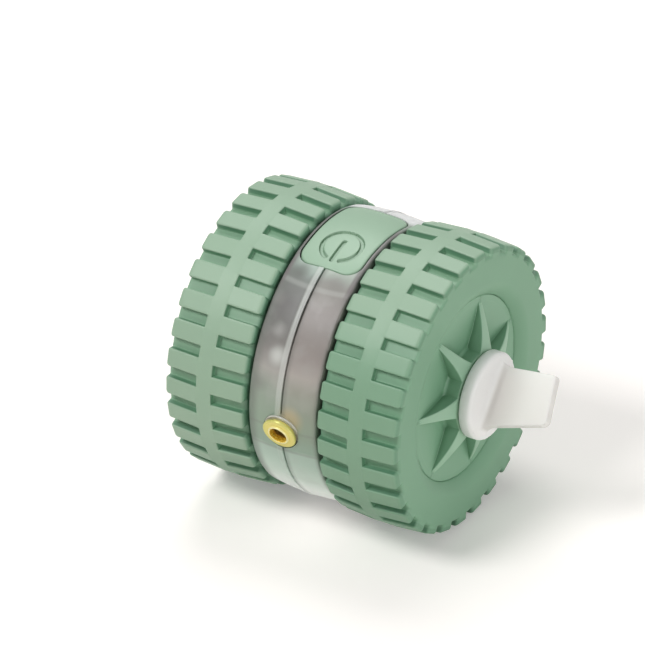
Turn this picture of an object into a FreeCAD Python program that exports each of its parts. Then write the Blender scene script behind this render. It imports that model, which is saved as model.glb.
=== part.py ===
import FreeCAD, Part
import math
import os

# Two-wheeled rolling laser toy: a crowned body between two treaded wheels, each wheel
# driven by its own small motor through a two-stage gear train, a laser that looks out of
# the front of the body, a power button on top and a soft pull-out tail plug on the right
# wheel. Millimetres. Shapes are drawn about the wheel axis (X) with the laser towards -Y
# and are lifted at the end so that the treads stand on Z = 0.

Vec = FreeCAD.Vector
CENTRE = Vec(0, 0, 0)
ALONG = Vec(1, 0, 0)
UP = Vec(0, 0, 1)

# ---------------------------------------------------------------- driving dimensions
# tyre
tyre_radius = 39.0          # at the corners of the lugs, whose crests are flat
tyre_width = 23.4
tyre_gap = 0.7              # between the body's side and the tyre
crown_drop = 0.65           # a lug's crest falls by this much from the band to its shoulder
shoulder_bevel = 0.8
tread_thickness = 6.4
groove_count = 30           # per row; two rows per tyre
groove_width = 3.2
groove_depth = 2.1
groove_fall = 0.55          # the groove floor's extra depth at the side
tread_band = 4.4            # unbroken band between the two rows
band_sink = 0.12            # the band lies this far inside the lugs' corners
outer_row_angle = 5.6       # groove centre, from the front, downwards
inner_row_angle = -0.4
lip_overhang = 1.6          # the tyre's hook round the rim's inner end
lip_width = 1.6
sidewall_radius = 28.6      # where the flat sidewall starts to turn in
sidewall_sink = 2.1         # depth of the parting line below the sidewall
sidewall_knee = 0.6         # depth of the turned-in part's middle

# hub
hub_face_radius = 24.8      # parting line between tyre and hub
hub_face_wall = 2.1
rim_wall = 2.0
face_step = 1.5             # the web behind the tyre's lip lies this far below the face
boss_radius = 12.3
boss_height = 4.4
arm_count = 7
arm_angle = -5.1
arm_tip_radius = 23.8
arm_middle_radius = 18.0
arm_tip_half = 0.95
arm_middle_half = 1.45
arm_root_half = 2.8
back_rib = 1.4
rib_setback = 1.0           # from the sleeve's inner end
core_wall = 1.7             # moulded walls left where the boss is cored out
socket_radius = 5.05
socket_depth = 5.5
socket_floor = 3.0          # between the socket and the axle's end
sleeve_radius = 5.0

# body shells
body_half_width = 10.0
crown_top = 37.7
crown_arc = 61.0            # radius of the body's crown across its width
body_edge_bevel = 0.7
shell_wall = 1.8
side_wall = 1.6
pod_radius = 25.0
pod_wall = 1.6
pod_length = 13.3
pod_bevel = 0.5
end_wall = 1.6
seam_lip = 0.8
seam_lip_reach = 1.0
screw_circle = 29.0
screw_angles = (35.0, 145.0, 215.0, 325.0)
screw_post_radius = 2.6
screw_radius = 1.0
screw_head_radius = 2.0
screw_head_height = 1.4
screw_length = 14.0

# power button
button_half_width = 8.75
button_front = -15.9
button_back = 12.9
button_corner = 4.0
button_wall = 1.8
button_gap = 0.35
button_travel = 0.6
button_stem_radius = 2.2
button_tongue = 1.3         # reach of the end tongues under the shell
button_tongue_half = 5.5
button_tongue_wall = 0.8
button_riser = 1.2          # the tongue's root under the cap's edge
button_rib = 1.0
button_rib_depth = 2.6
button_rib_inset = 2.5      # from the cap's sides
button_rib_reach = 9.0      # along the cap, each way

# laser
laser_pitch = 19.2          # the beam's angle below level
laser_seat_angle = 5.4      # where the bezel sits on the crown, below level
bezel_stand = 1.0           # the seat's height above the crown's top
bezel_radius = 4.75
bezel_flange = 0.8
bezel_bevel = 0.25
bezel_groove = 0.7
bezel_groove_radius = 3.95
bezel_bore = 2.38
bezel_lip = 0.5
bezel_lip_wall = 0.55
bezel_tube_radius = 3.7
bezel_tube_length = 5.0
collar_radius = 4.95
collar_thickness = 0.6
barrel_radius = 3.0
barrel_wall = 0.8
barrel_length = 12.0
lens_thickness = 0.8
diode_length = 5.0
port_post_radius = 5.1
barrel_recess = 0.3         # from the flange's back to the barrel's mouth
lens_recess = 0.6
diode_flange = 1.0
cradle_wall = 1.3
cradle_length = 4.0

# inner frame
frame_gap = 1.7             # between the shells and the frame's curved walls
frame_wall = 1.6
frame_top = 28.0
frame_bottom = -8.5
plate_thickness = 1.4
plate_bottom = -19.0
plate_narrow_half = 19.5    # below the frame's front wall the plates are narrower
frame_slack = 0.5           # how far inner pieces may stand proud of the frame
window_radius = 5.0
window_place = (15.5, 12.0)

# board and switch
board_thickness = 1.2
board_height = 20.5
board_front = -20.0
board_back = 25.4
switch_size = 6.0
switch_height = 3.6
switch_lid = 0.3
switch_rim_radius = 2.4
plunger_radius = 1.6
plunger_height = 1.0        # above the switch
plunger_depth = 1.4
usb_width = 8.9
usb_height = 3.2
usb_length = 7.2
usb_wall = 0.35
usb_floor = 1.2
usb_tongue = 0.7
usb_stand_out = 3.2         # past the board's rear edge
board_corner = 1.5
board_hole_radius = 0.9
front_screw_inset = 4.6
rear_screw_inset = 11.0
board_screw_radius = 0.65
board_screw_grip = 1.8
board_screw_head = 0.9
board_screw_head_radius = 1.5
board_bar_half = 1.8
board_bar_depth = 2.4
controller_size = (5.0, 5.0, 1.0)
controller_inset = 11.0
driver_size = (4.0, 5.0, 1.4)
driver_setback = 8.0        # behind the switch
led_size = (2.0, 1.4, 0.8)
led_inset = (2.8, 2.4)      # from the board's side and front edges

# battery and ballast
battery_length = 25.0
battery_height = 9.0
battery_centre = 3.2        # towards the rear, against the laser's weight
battery_top = -19.7
battery_corner = 1.6
tray_wall = 1.2
tray_height = 4.0
ballast_front = -3.0
ballast_back = 16.0

# drive
gear_module = 0.5
wheel_teeth = 40
idler_small_teeth = 12
idler_big_teeth = 28
pinion_teeth = 10
backlash = 0.14
pressure_angle = 20.0
addendum = 0.8              # tooth heights above and below the pitch circle, in modules
dedendum = 1.1
root_share = 0.8            # of the involute's widening, at the tooth's root
gear_width = 2.8
axle_radius = 2.0
axle_inner_end = 5.0
bush_wall = 1.1
bush_flange = 0.9
bush_flange_reach = 1.3
bush_tail = 0.8             # past the wall that holds the bush
bush_boss_wall = 1.6
inner_bush_flange = 0.7
idler_pin_radius = 1.0
pin_head = 0.8
pin_grip = 1.8              # past the plate's inner side
motor_radius = 6.0
motor_flat = 10.0
motor_shaft_radius = 0.75
motor_nose_radius = 1.95
motor_nose_short = 0.3      # below the plate's outer side
plane_gap = 0.4             # between the two gear planes
plate_to_gear = 1.2
motor_rise = -9.0
motor_reach = 13.0
hub_screw_radius = 1.2
hub_screw_length = 6.0
hub_screw_head = 1.2
hub_screw_head_radius = 2.4

# tail plug
plug_radius = 11.7
plug_thickness = 3.5
plug_gap = 0.45             # dark line between boss and disc
plug_bevel = 0.9
plug_tip_bevel = 0.6
tab_thickness = 3.0
tab_root_half = 8.2
tab_end_half = 6.6
tab_length = 16.3
tab_rise = 3.5              # the end's offset across the tab
tab_turn = 50.0             # the tab's plane, from level, top leaning back
tab_end_turn = 8.0
tab_corner = 2.2

# clearances
press_gap = 0.02            # pressed or glued fits, within one body
running_gap = 0.05          # radial, on shafts
seat_gap = 0.2              # parts laid in pockets
plug_clearance = 0.15
seam_slip = 0.12            # between the seam's lip and the shell over it
mesh_gap = 0.1              # beyond the theoretical gear centres
crest_stock = 0.4           # cut away again by the lugs' flat crests
overcut = 1.0               # how far a cutting shape runs past the surface it opens
sink = 0.5                  # how far a joined shape runs into the one that carries it

# ---------------------------------------------------------------- derived places
laser_seat_radius = crown_top + bezel_stand
frame_radius = crown_top - shell_wall - frame_gap
frame_reach = frame_radius + frame_slack
tyre_inner = body_half_width + tyre_gap
tyre_outer = tyre_inner + tyre_width
tyre_middle = (tyre_inner + tyre_outer) / 2
tyre_bore = tyre_radius - tread_thickness
rim_radius = tyre_bore - press_gap
rim_inner = tyre_inner + lip_width + press_gap
hub_face = tyre_outer - sidewall_sink + press_gap
web_face = hub_face - face_step
boss_face = hub_face + boss_height
socket_bottom = boss_face - socket_depth
screw_seat = socket_bottom - hub_screw_head - running_gap
axle_outer = socket_bottom - socket_floor
pod_end = body_half_width + pod_length
plate_outer = body_half_width - side_wall - seat_gap * 2
plate_inner = plate_outer - plate_thickness
bush_radius = axle_radius + running_gap + bush_wall
bush_flange_outer = bush_radius + bush_flange_reach
sleeve_inner = pod_end + bush_flange + seat_gap * 2
wheel_pitch = gear_module * wheel_teeth / 2
small_pitch = gear_module * idler_small_teeth / 2
big_pitch = gear_module * idler_big_teeth / 2
pinion_pitch = gear_module * pinion_teeth / 2
first_plane = plate_outer + plate_to_gear
second_plane = first_plane + gear_width + plane_gap


# ---------------------------------------------------------------- drawing helpers
def axial(point):
    """A profile point: place along the axis, distance from it."""
    return Vec(point[0], point[1], 0)


def facing(point):
    """A point of a section square to the axis: y, z."""
    return Vec(0, point[0], point[1])


def plan(point):
    """A point of a plan view: x, y."""
    return Vec(point[0], point[1], 0)


def closed_wire(steps, place):
    """Closed outline; a step is an end point, or a (via, end) pair for an arc."""
    edges = []
    first = start = place(steps[0])
    for step in steps[1:]:
        if isinstance(step[0], tuple):
            via, end = place(step[0]), place(step[1])
            edges.append(Part.Arc(start, via, end).toShape())
        else:
            end = place(step)
            edges.append(Part.makeLine(start, end))
        start = end
    if start.distanceToPoint(first) > 1e-6:
        edges.append(Part.makeLine(start, first))
    return Part.Wire(edges)


def turned(steps):
    """Solid of revolution about the wheel axis from an (x, radius) outline."""
    return Part.Face(closed_wire(steps, axial)).revolve(CENTRE, ALONG, 360)


def across(steps, start, end):
    """Prism along X of a (y, z) outline."""
    face = Part.Face(closed_wire(steps, facing))
    face.translate(ALONG * start)
    return face.extrude(ALONG * (end - start))


def upright(steps, low, high):
    """Prism along Z of an (x, y) outline."""
    face = Part.Face(closed_wire(steps, plan))
    face.translate(UP * low)
    return face.extrude(UP * (high - low))


def rod(radius, start, end, y=0.0, z=0.0):
    """Round bar along X."""
    return Part.makeCylinder(radius, end - start, Vec(start, y, z), ALONG)


def post(radius, low, high, y=0.0):
    """Round bar along Z, over the middle of the body."""
    return Part.makeCylinder(radius, high - low, Vec(0, y, low), UP)


def tube(outer, inner, start, end, y=0.0, z=0.0):
    return rod(outer, start, end, y, z).cut(rod(inner, start, end, y, z))


def block(x0, x1, y0, y1, z0, z1):
    return Part.makeBox(x1 - x0, y1 - y0, z1 - z0, Vec(x0, y0, z0))


def rounded_steps(x0, x1, y0, y1, r):
    """Rounded rectangle as outline steps."""
    k = r * (1 - math.sqrt(0.5))
    return [
        (x0 + r, y0),
        (x1 - r, y0),
        ((x1 - k, y0 + k), (x1, y0 + r)),
        (x1, y1 - r),
        ((x1 - k, y1 - k), (x1 - r, y1)),
        (x0 + r, y1),
        ((x0 + k, y1 - k), (x0, y1 - r)),
        (x0, y0 + r),
        ((x0 + k, y0 + k), (x0 + r, y0)),
    ]


def spun(shape, angle):
    """Copy turned about the wheel axis; positive goes from the front downwards."""
    copy = shape.copy()
    copy.rotate(CENTRE, ALONG, angle)
    return copy


def mirrored(shape):
    return shape.mirror(CENTRE, ALONG)


def swapped(shape):
    """Copy turned half a turn about the vertical, for the other drive train."""
    copy = shape.copy()
    copy.rotate(CENTRE, UP, 180)
    return copy


def joined(first, others):
    return first.fuse(others).removeSplitter()


def ring_places(radius, angles):
    """(y, z) places on a circle, angles from the front downwards."""
    return [
        (-radius * math.cos(math.radians(a)), -radius * math.sin(math.radians(a)))
        for a in angles
    ]


def crown(x, inset=0.0):
    """Radius of the body's crown at x, less an inset."""
    return crown_top - inset - (crown_arc - math.sqrt(crown_arc**2 - x**2))


# ---------------------------------------------------------------- wheel
def tyre_blank():
    """Tread with stock for the lugs' crests, flat sidewall that turns in to the hub, and a
    hook round the rim."""
    stock = tyre_radius + crest_stock
    shoulder = tyre_radius - crown_drop
    stock_width = shoulder_bevel + crest_stock
    band_radius = tyre_radius - band_sink
    band_inner = tyre_middle - tread_band / 2
    band_outer = tyre_middle + tread_band / 2
    knee_radius = (sidewall_radius + hub_face_radius) / 2
    return turned([
        (rim_inner - press_gap, tyre_bore),
        (rim_inner - press_gap, tyre_bore - lip_overhang),
        (tyre_inner, tyre_bore - lip_overhang),
        (tyre_inner, shoulder - shoulder_bevel),
        (tyre_inner + stock_width, shoulder + crest_stock),
        (band_inner, stock),
        (band_inner, band_radius),
        (band_outer, band_radius),
        (band_outer, stock),
        (tyre_outer - stock_width, shoulder + crest_stock),
        (tyre_outer, shoulder - shoulder_bevel),
        (tyre_outer, sidewall_radius),
        (tyre_outer - sidewall_knee, knee_radius),
        (tyre_outer - sidewall_sink, hub_face_radius),
        (web_face + press_gap, hub_face_radius),
        (web_face + press_gap, tyre_bore),
    ])


def groove(band_edge, open_end):
    """One tread groove, pointing down the front of the tyre."""
    floor = tyre_radius - groove_depth
    top = tyre_radius + overcut
    low = floor - groove_fall
    corners = [(band_edge, floor), (open_end, low), (open_end, top), (band_edge, top)]
    face = Part.makePolygon([Vec(x, -r, 0) for x, r in corners + corners[:1]])
    cutter = Part.Face(face)
    cutter.translate(UP * (-groove_width / 2))
    return cutter.extrude(UP * groove_width)


def crest_trim(band_edge, open_end, angle):
    """What lies outside one row's flat lug crests: a disc less a pyramid with a flat per lug."""
    half_pitch = math.pi / groove_count
    lug_half = half_pitch - math.asin(groove_width / 2 / tyre_radius)
    flat = tyre_radius * math.cos(lug_half)
    fall = crown_drop / (tyre_width / 2 - tread_band / 2 - shoulder_bevel)
    side = math.copysign(1, open_end - band_edge)
    over_band = band_edge - side * tread_band / 4
    turns = [math.radians(angle) + 2 * half_pitch * k for k in range(groove_count + 1)]
    rings = []
    for x in (over_band, open_end):
        corner = (flat - fall * side * (x - band_edge)) / math.cos(half_pitch)
        points = [Vec(x, -corner * math.cos(t), -corner * math.sin(t)) for t in turns]
        rings.append(Part.makePolygon(points))
    pyramid = Part.makeLoft(rings, True, True)
    low, high = sorted((over_band, open_end))
    return rod(tyre_radius + overcut, low, high).cut(pyramid)


def tyre():
    """Blank whose two rows are trimmed to flat crests and cut by the grooves."""
    pitch = 360.0 / groove_count
    trims, grooves = [], []
    for side, angle in ((1, outer_row_angle), (-1, inner_row_angle)):
        band_edge = tyre_middle + side * tread_band / 2
        open_end = tyre_middle + side * (tyre_width / 2 + overcut)
        trims.append(crest_trim(band_edge, open_end, angle))
        one = groove(band_edge, open_end)
        grooves += [spun(one, angle + pitch * k) for k in range(groove_count)]
    return tyre_blank().cut(trims).cut(grooves)


def star_arm():
    """One arm of the hub's star, along the front."""
    steps = [
        (-boss_radius + 2, -arm_root_half),
        (-boss_radius, -arm_root_half),
        ((-arm_middle_radius, -arm_middle_half), (-arm_tip_radius, -arm_tip_half)),
        (-arm_tip_radius, arm_tip_half),
        ((-arm_middle_radius, arm_middle_half), (-boss_radius, arm_root_half)),
        (-boss_radius + 2, arm_root_half),
    ]
    return across(steps, hub_face - sink, boss_face)


def star():
    """The seven arms under one cone that falls from the boss to the parting line."""
    arms = [spun(star_arm(), arm_angle + 360.0 * k / arm_count) for k in range(arm_count)]
    slope = turned([
        (hub_face - sink, 0),
        (boss_face, 0),
        (boss_face, boss_radius),
        (hub_face, arm_tip_radius),
        (hub_face - sink, arm_tip_radius),
    ])
    return [arm.common(slope) for arm in arms]


def hub_blank():
    face_radius = hub_face_radius - press_gap
    back = hub_face - hub_face_wall
    web_back = web_face - hub_face_wall
    core_outer = boss_radius - core_wall
    core_inner = socket_radius + core_wall
    core_top = boss_face - core_wall
    return turned([
        (rim_inner, rim_radius - rim_wall),
        (rim_inner, rim_radius),
        (web_face, rim_radius),
        (web_face, face_radius),
        (hub_face, face_radius),
        (hub_face, boss_radius),
        (boss_face, boss_radius),
        (boss_face, socket_radius),
        (socket_bottom, socket_radius),
        (socket_bottom, hub_screw_head_radius + seat_gap),
        (screw_seat, hub_screw_head_radius + seat_gap),
        (screw_seat, hub_screw_radius + running_gap * 2),
        (axle_outer, hub_screw_radius + running_gap * 2),
        (axle_outer, axle_radius + press_gap),
        (sleeve_inner, axle_radius + press_gap),
        (sleeve_inner, sleeve_radius),
        (axle_outer, sleeve_radius),
        (axle_outer, core_inner),
        (core_top, core_inner),
        (core_top, core_outer),
        (back, core_outer),
        (back, face_radius - hub_face_wall),
        (web_back, face_radius - hub_face_wall),
        (web_back, rim_radius - rim_wall),
    ])


def hub():
    """Wheel disc with a star on its face, a rim under the tyre and ribs behind."""
    low = sleeve_inner + rib_setback
    half = back_rib / 2
    root = -sleeve_radius + sink
    outer = block(low, web_face - hub_face_wall + sink, -rim_radius + rim_wall / 2, root, -half, half)
    inner = block(low, hub_face - hub_face_wall + sink, -hub_face_radius + hub_face_wall, root,
                  -half, half)
    bore = rod(sleeve_radius, sleeve_inner, hub_face)
    rib = outer.fuse(inner).cut(bore)
    ribs = [spun(rib, arm_angle + 360.0 * k / arm_count) for k in range(arm_count)]
    return joined(hub_blank(), star() + ribs)


def axle():
    bar = rod(axle_radius, axle_inner_end, axle_outer - press_gap)
    tap = rod(hub_screw_radius + press_gap, axle_outer - hub_screw_length, axle_outer)
    return bar.cut(tap)


def hub_screw():
    """Screw sunk in the floor of the socket, into the axle's end."""
    head_start = screw_seat + press_gap
    head = rod(hub_screw_head_radius, head_start, head_start + hub_screw_head)
    shank = rod(hub_screw_radius, axle_outer - hub_screw_length + seat_gap, head_start + seat_gap)
    return joined(head, [shank])


# ---------------------------------------------------------------- gears
def tooth_half_angles(teeth):
    """Half angles of a tooth at its root and tip, for an involute flank."""
    pitch = gear_module * teeth / 2
    tip = pitch + gear_module * addendum
    thickness = math.pi * gear_module / 2 - backlash
    base_angle = math.radians(pressure_angle)
    base = pitch * math.cos(base_angle)
    at_pitch = thickness / (2 * pitch)
    involute = math.tan(base_angle) - base_angle
    tip_angle = math.acos(base / tip)
    at_tip = at_pitch + involute - (math.tan(tip_angle) - tip_angle)
    return math.degrees(at_pitch + involute * root_share), math.degrees(at_tip)


def gear_disc(teeth, phase, start, end, centre):
    """Spur gear blank with teeth, one of them pointing at the phase angle."""
    pitch = gear_module * teeth / 2
    root = pitch - gear_module * dedendum
    tip = pitch + gear_module * addendum
    root_half, tip_half = tooth_half_angles(teeth)
    flank = [(root, -root_half), (tip, -tip_half), (tip, tip_half), (root, root_half)]
    steps = []
    for k in range(teeth):
        for radius, offset in flank:
            angle = math.radians(phase + 360.0 * k / teeth + offset)
            y = centre[0] + radius * math.cos(angle)
            z = centre[1] + radius * math.sin(angle)
            steps.append((y, z))
    return across(steps, start, end)


def train_places():
    """Centres of the idler and the motor of the right-hand train, as (y, z)."""
    motor = (motor_reach, motor_rise)
    motor_distance = math.hypot(*motor)
    to_idler = wheel_pitch + small_pitch + mesh_gap
    to_motor = big_pitch + pinion_pitch + mesh_gap
    cosine = (motor_distance**2 + to_idler**2 - to_motor**2) / (2 * motor_distance * to_idler)
    angle = math.atan2(motor[1], motor[0]) + math.acos(cosine)
    return (to_idler * math.cos(angle), to_idler * math.sin(angle)), motor


def direction(start, end):
    return math.degrees(math.atan2(end[1] - start[1], end[0] - start[0]))


def drive_gear():
    """The wheel's own gear, pressed on the axle, with a collar towards the bush."""
    idler, _ = train_places()
    teeth = gear_disc(wheel_teeth, direction((0, 0), idler), second_plane,
                      second_plane + gear_width, (0, 0))
    collar = rod(axle_radius * 2, second_plane, pod_end - end_wall - bush_tail - seat_gap * 2)
    return joined(teeth, [collar]).cut(rod(axle_radius + press_gap, 0, pod_end))


def idler_gear():
    idler, motor = train_places()
    small_phase = direction(idler, (0, 0)) + 180.0 / idler_small_teeth
    big_phase = direction(idler, motor)
    big = gear_disc(idler_big_teeth, big_phase, first_plane, first_plane + gear_width, idler)
    small = gear_disc(idler_small_teeth, small_phase, first_plane + gear_width,
                      second_plane + gear_width, idler)
    bore = rod(idler_pin_radius + running_gap, 0, pod_end, *idler)
    return joined(big, [small]).cut(bore)


def idler_pin():
    """Headed pin pressed into the frame's side plate."""
    idler, _ = train_places()
    tail = plate_inner - pin_grip
    head_start = second_plane + gear_width + seat_gap
    shank = rod(idler_pin_radius, tail, head_start + pin_head / 2, *idler)
    head = rod(idler_pin_radius * 1.8, head_start, head_start + pin_head, *idler)
    return joined(head, [shank])


def motor_pinion():
    idler, motor = train_places()
    phase = direction(motor, idler) + 180.0 / pinion_teeth
    teeth = gear_disc(pinion_teeth, phase, first_plane, first_plane + gear_width, motor)
    return teeth.cut(rod(motor_shaft_radius + press_gap, 0, pod_end, *motor))


def motor_shaft():
    _, motor = train_places()
    return rod(motor_shaft_radius, 0, second_plane, *motor)


def motor():
    """Flat-sided can with a nose that locates in the side plate."""
    y, z = train_places()[1]
    end = plate_inner - press_gap
    can = rod(motor_radius, -end, end, y, z)
    slab = block(-end, end, y - motor_radius, y + motor_radius, z - motor_flat / 2, z + motor_flat / 2)
    nose = rod(motor_nose_radius, end - plate_thickness, plate_outer - motor_nose_short, y, z)
    bore = rod(motor_shaft_radius + running_gap * 2, -running_gap * 2, pod_end, y, z)
    return joined(can.common(slab), [nose]).cut(bore)


def bush(flange_start, flange_end, start, end):
    body = rod(bush_radius, start, end)
    flange = rod(bush_flange_outer, flange_start, flange_end)
    bore = rod(axle_radius + running_gap, start - 3, end + 3)
    return joined(body, [flange]).cut(bore)


def outer_bush():
    start = pod_end - end_wall - bush_tail
    return bush(pod_end + press_gap, pod_end + bush_flange, start, pod_end + bush_flange / 2)


def inner_bush():
    flange_end = plate_outer + inner_bush_flange
    start = plate_inner - plate_thickness
    return bush(plate_outer + press_gap, flange_end, start, plate_outer + inner_bush_flange / 2)


# ---------------------------------------------------------------- body shells
def shell_blank():
    inner = body_half_width - side_wall
    edge = body_half_width - body_edge_bevel
    pod_bore = pod_radius - pod_wall
    boss = bush_radius + bush_boss_wall
    boss_start = pod_end - end_wall - bush_tail
    return turned([
        (0, crown(0, shell_wall)),
        (0, crown(0)),
        (edge / 2, crown(edge / 2)),
        (edge, crown(edge)),
        (body_half_width, crown(edge) - body_edge_bevel),
        (body_half_width, pod_radius),
        (pod_end - pod_bevel, pod_radius),
        (pod_end, pod_radius - pod_bevel),
        (pod_end, bush_radius + press_gap),
        (boss_start, bush_radius + press_gap),
        (boss_start, boss),
        (pod_end - end_wall, boss),
        (pod_end - end_wall, pod_bore),
        (inner, pod_bore),
        (inner, crown(inner, shell_wall)),
    ])


def seam_ring():
    """Lip that carries the seam from one shell under the other."""
    outer = crown(0, shell_wall)
    slip = seam_slip
    ring = turned([
        (-seam_lip_reach * 2, outer + shell_wall / 2),
        (0, outer + shell_wall / 2),
        (0, outer - slip),
        (seam_lip_reach, outer - slip),
        (seam_lip_reach, outer - slip - seam_lip),
        (-seam_lip_reach * 2, outer - slip - seam_lip),
    ])
    ends = button_gap + button_tongue + overcut
    room = block(-body_half_width, body_half_width, button_front - ends, button_back + ends,
                 pod_radius, tyre_radius)
    return mirrored(ring.cut(room))


def screw_places():
    return ring_places(screw_circle, screw_angles)


def button_prism(gap):
    """Plan outline of the power button, carried up through the crown."""
    half = button_half_width + gap
    steps = rounded_steps(-half, half, button_front - gap, button_back + gap, button_corner + gap)
    return upright(steps, pod_radius, tyre_radius + 5)


def button_pocket():
    """The button's opening, no deeper than its wall and its travel."""
    floor = crown(button_half_width, button_wall) - button_travel - seat_gap
    core = rod(floor, -tyre_outer, tyre_outer)
    return button_prism(button_gap).cut(core)


def laser_frame():
    """Seat point and outward direction of the beam."""
    seat = math.radians(laser_seat_angle)
    tilt = math.radians(laser_pitch)
    point = Vec(0, -laser_seat_radius * math.cos(seat), -laser_seat_radius * math.sin(seat))
    beam = Vec(0, -math.cos(tilt), -math.sin(tilt))
    return point, beam


def laser_rod(radius, back, front):
    """Round bar along the beam; distances are forward of the bezel's face."""
    point, beam = laser_frame()
    return Part.makeCylinder(radius, front - back, point + beam * back, beam)


def laser_tube(outer, inner, back, front):
    return laser_rod(outer, back, front).cut(laser_rod(inner, back - 1, front + 1))


def collar_back():
    return -bezel_flange - bezel_groove - collar_thickness


def port_post():
    """Raised seat for the laser's collar, half of it on each shell."""
    post = laser_rod(port_post_radius, collar_back() - shell_wall * 2, collar_back() - press_gap)
    inside = rod(crown(0, shell_wall), -tyre_outer, tyre_outer)
    half = block(0, tyre_outer, -tyre_radius * 2, 0, -tyre_radius, tyre_radius)
    return post.cut(inside).common(half)


def usb_place():
    """Rear end and mid-height of the charging socket."""
    return board_back + usb_stand_out, board_height + board_thickness + usb_height / 2


def usb_hole(margin):
    height = usb_place()[1]
    half_w = usb_width / 2 + margin
    half_h = usb_height / 2 + margin
    outline = rounded_steps(-half_w, half_w, -half_h, half_h, half_h - press_gap)
    face = Part.Face(closed_wire(outline, lambda p: Vec(p[0], 0, height + p[1])))
    face.translate(Vec(0, board_back / 2, 0))
    return face.extrude(Vec(0, tyre_radius, 0))


def shell_openings():
    bore = laser_rod(bezel_tube_radius + running_gap, -bezel_tube_length * 2, bezel_flange)
    recess = laser_rod(collar_radius + running_gap * 2, collar_back() - press_gap, shell_wall * 2)
    return [button_pocket(), bore, recess, usb_hole(seat_gap)]


def screw_posts():
    end = body_half_width - side_wall + sink
    return [rod(screw_post_radius, 0, end, y, z) for y, z in screw_places()]


def shell_right():
    depth = screw_end() + seat_gap
    holes = [rod(screw_radius + press_gap, -overcut, depth, y, z) for y, z in screw_places()]
    body = joined(shell_blank(), screw_posts() + [port_post()])
    return body.cut(shell_openings() + holes)


def screw_head_seat():
    return body_half_width - screw_head_height


def screw_end():
    """How far the case screws reach into the right-hand shell."""
    return screw_length - screw_head_seat()


def shell_left():
    body = joined(shell_blank(), screw_posts() + [port_post(), seam_ring()])
    holes = [rod(screw_radius + seat_gap, -overcut, tyre_outer, y, z) for y, z in screw_places()]
    sinks = [rod(screw_head_radius + seat_gap, screw_head_seat(), pod_end, y, z)
             for y, z in screw_places()]
    return mirrored(body.cut(shell_openings() + holes + sinks))


def case_screws():
    """Four pan-head screws, from the left, as separate solids."""
    screws = []
    for y, z in screw_places():
        seat = -screw_head_seat() - press_gap
        head = rod(screw_head_radius, seat - screw_head_height + press_gap, seat, y, z)
        shank = rod(screw_radius, seat - press_gap, seat + screw_length, y, z)
        screws.append(joined(head, [shank]))
    return Part.makeCompound(screws)


# ---------------------------------------------------------------- power button
def crown_band(outer_inset, inner_inset):
    """Full ring of the body's crown between two insets."""
    half = body_half_width - body_edge_bevel
    stations = (-half, -half / 2, 0, half / 2, half)
    outside = [(x, crown(x, outer_inset)) for x in stations]
    inside = [(x, crown(x, inner_inset)) for x in (half, 0, -half)]
    return turned(outside + inside)


def switch_top():
    return board_height + board_thickness + switch_height


def plunger_top():
    return switch_top() + plunger_height


def plunger_foot():
    """Foot of the plunger; the well below it leaves the button's travel."""
    return switch_top() - plunger_depth


def button_middle():
    return (button_front + button_back) / 2


def button_tongue_at(edge, outward):
    """Tongue at one end of the cap that hooks under the shells."""
    half = button_tongue_half
    root = edge - outward * button_riser
    foot = sorted((edge + outward * (button_gap + button_tongue), root))
    riser = sorted((edge, root))
    top = crown(half, shell_wall) - seat_gap
    ring = tube(top, top - button_tongue_wall, -half, half)
    step = tube(crown(half, button_wall) + sink, top - button_tongue_wall, -half, half)
    low, high = pod_radius, tyre_radius
    hook = ring.common(block(-half, half, foot[0], foot[1], low, high))
    return [hook, step.common(block(-half, half, riser[0], riser[1], low, high))]


def power_button():
    """Crowned cap with a stem over the switch, cross ribs and two hooked ends."""
    cap = button_prism(0).common(crown_band(0, button_wall))
    middle = button_middle()
    under = crown(0, button_wall)
    stem = post(button_stem_radius, plunger_top() + press_gap, under + button_wall / 2, middle)
    wide = button_half_width - button_rib_inset
    long = button_rib_reach
    half = button_rib / 2
    foot = under - button_rib_depth
    ribs = [
        block(-wide, wide, middle - half, middle + half, foot, under),
        block(-half, half, middle - long, middle + long, foot, under - sink),
    ]
    ribs = [rib.common(rod(under + sink, -button_half_width, button_half_width)) for rib in ribs]
    front = button_tongue_at(button_front, -1)
    back = button_tongue_at(button_back, 1)
    return joined(cap, [stem] + ribs + front + back)


def switch_plunger():
    return post(plunger_radius, plunger_foot(), plunger_top(), button_middle())


# ---------------------------------------------------------------- laser
def laser_bezel():
    """Brass flange with a raised inner lip, a groove behind it and a tube into the body."""
    flange = bevelled(laser_tube(bezel_radius, bezel_bore, -bezel_flange, 0), bezel_bevel, bezel_radius)
    lip = laser_tube(bezel_bore + bezel_lip_wall, bezel_bore, -bezel_lip, bezel_lip)
    neck = laser_tube(bezel_groove_radius, bezel_bore, -bezel_flange - bezel_groove, -bezel_flange)
    bore = barrel_radius + press_gap
    mouth = -bezel_flange - barrel_recess
    stem = laser_tube(bezel_tube_radius, bore, -bezel_tube_length, mouth)
    body = joined(flange, [lip, neck, stem])
    return body.cut(laser_rod(bore, -bezel_tube_length - overcut, mouth))


def bevelled(shape, size, edge_radius):
    """Bevel the circular edges of one radius."""
    edges = [e for e in shape.Edges
             if hasattr(e.Curve, "Radius") and abs(e.Curve.Radius - edge_radius) < 1e-6]
    return shape.makeChamfer(size, edges)


def laser_collar():
    """Clear ring between the bezel's groove and the shells."""
    inner = bezel_tube_radius + press_gap
    back = collar_back()
    front = back + collar_thickness - press_gap
    return laser_tube(collar_radius, inner, back, front)


def barrel_front():
    return -bezel_flange - barrel_recess - press_gap


def laser_barrel():
    front = barrel_front()
    bore = barrel_radius - barrel_wall
    return laser_tube(barrel_radius, bore, front - barrel_length, front)


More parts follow.
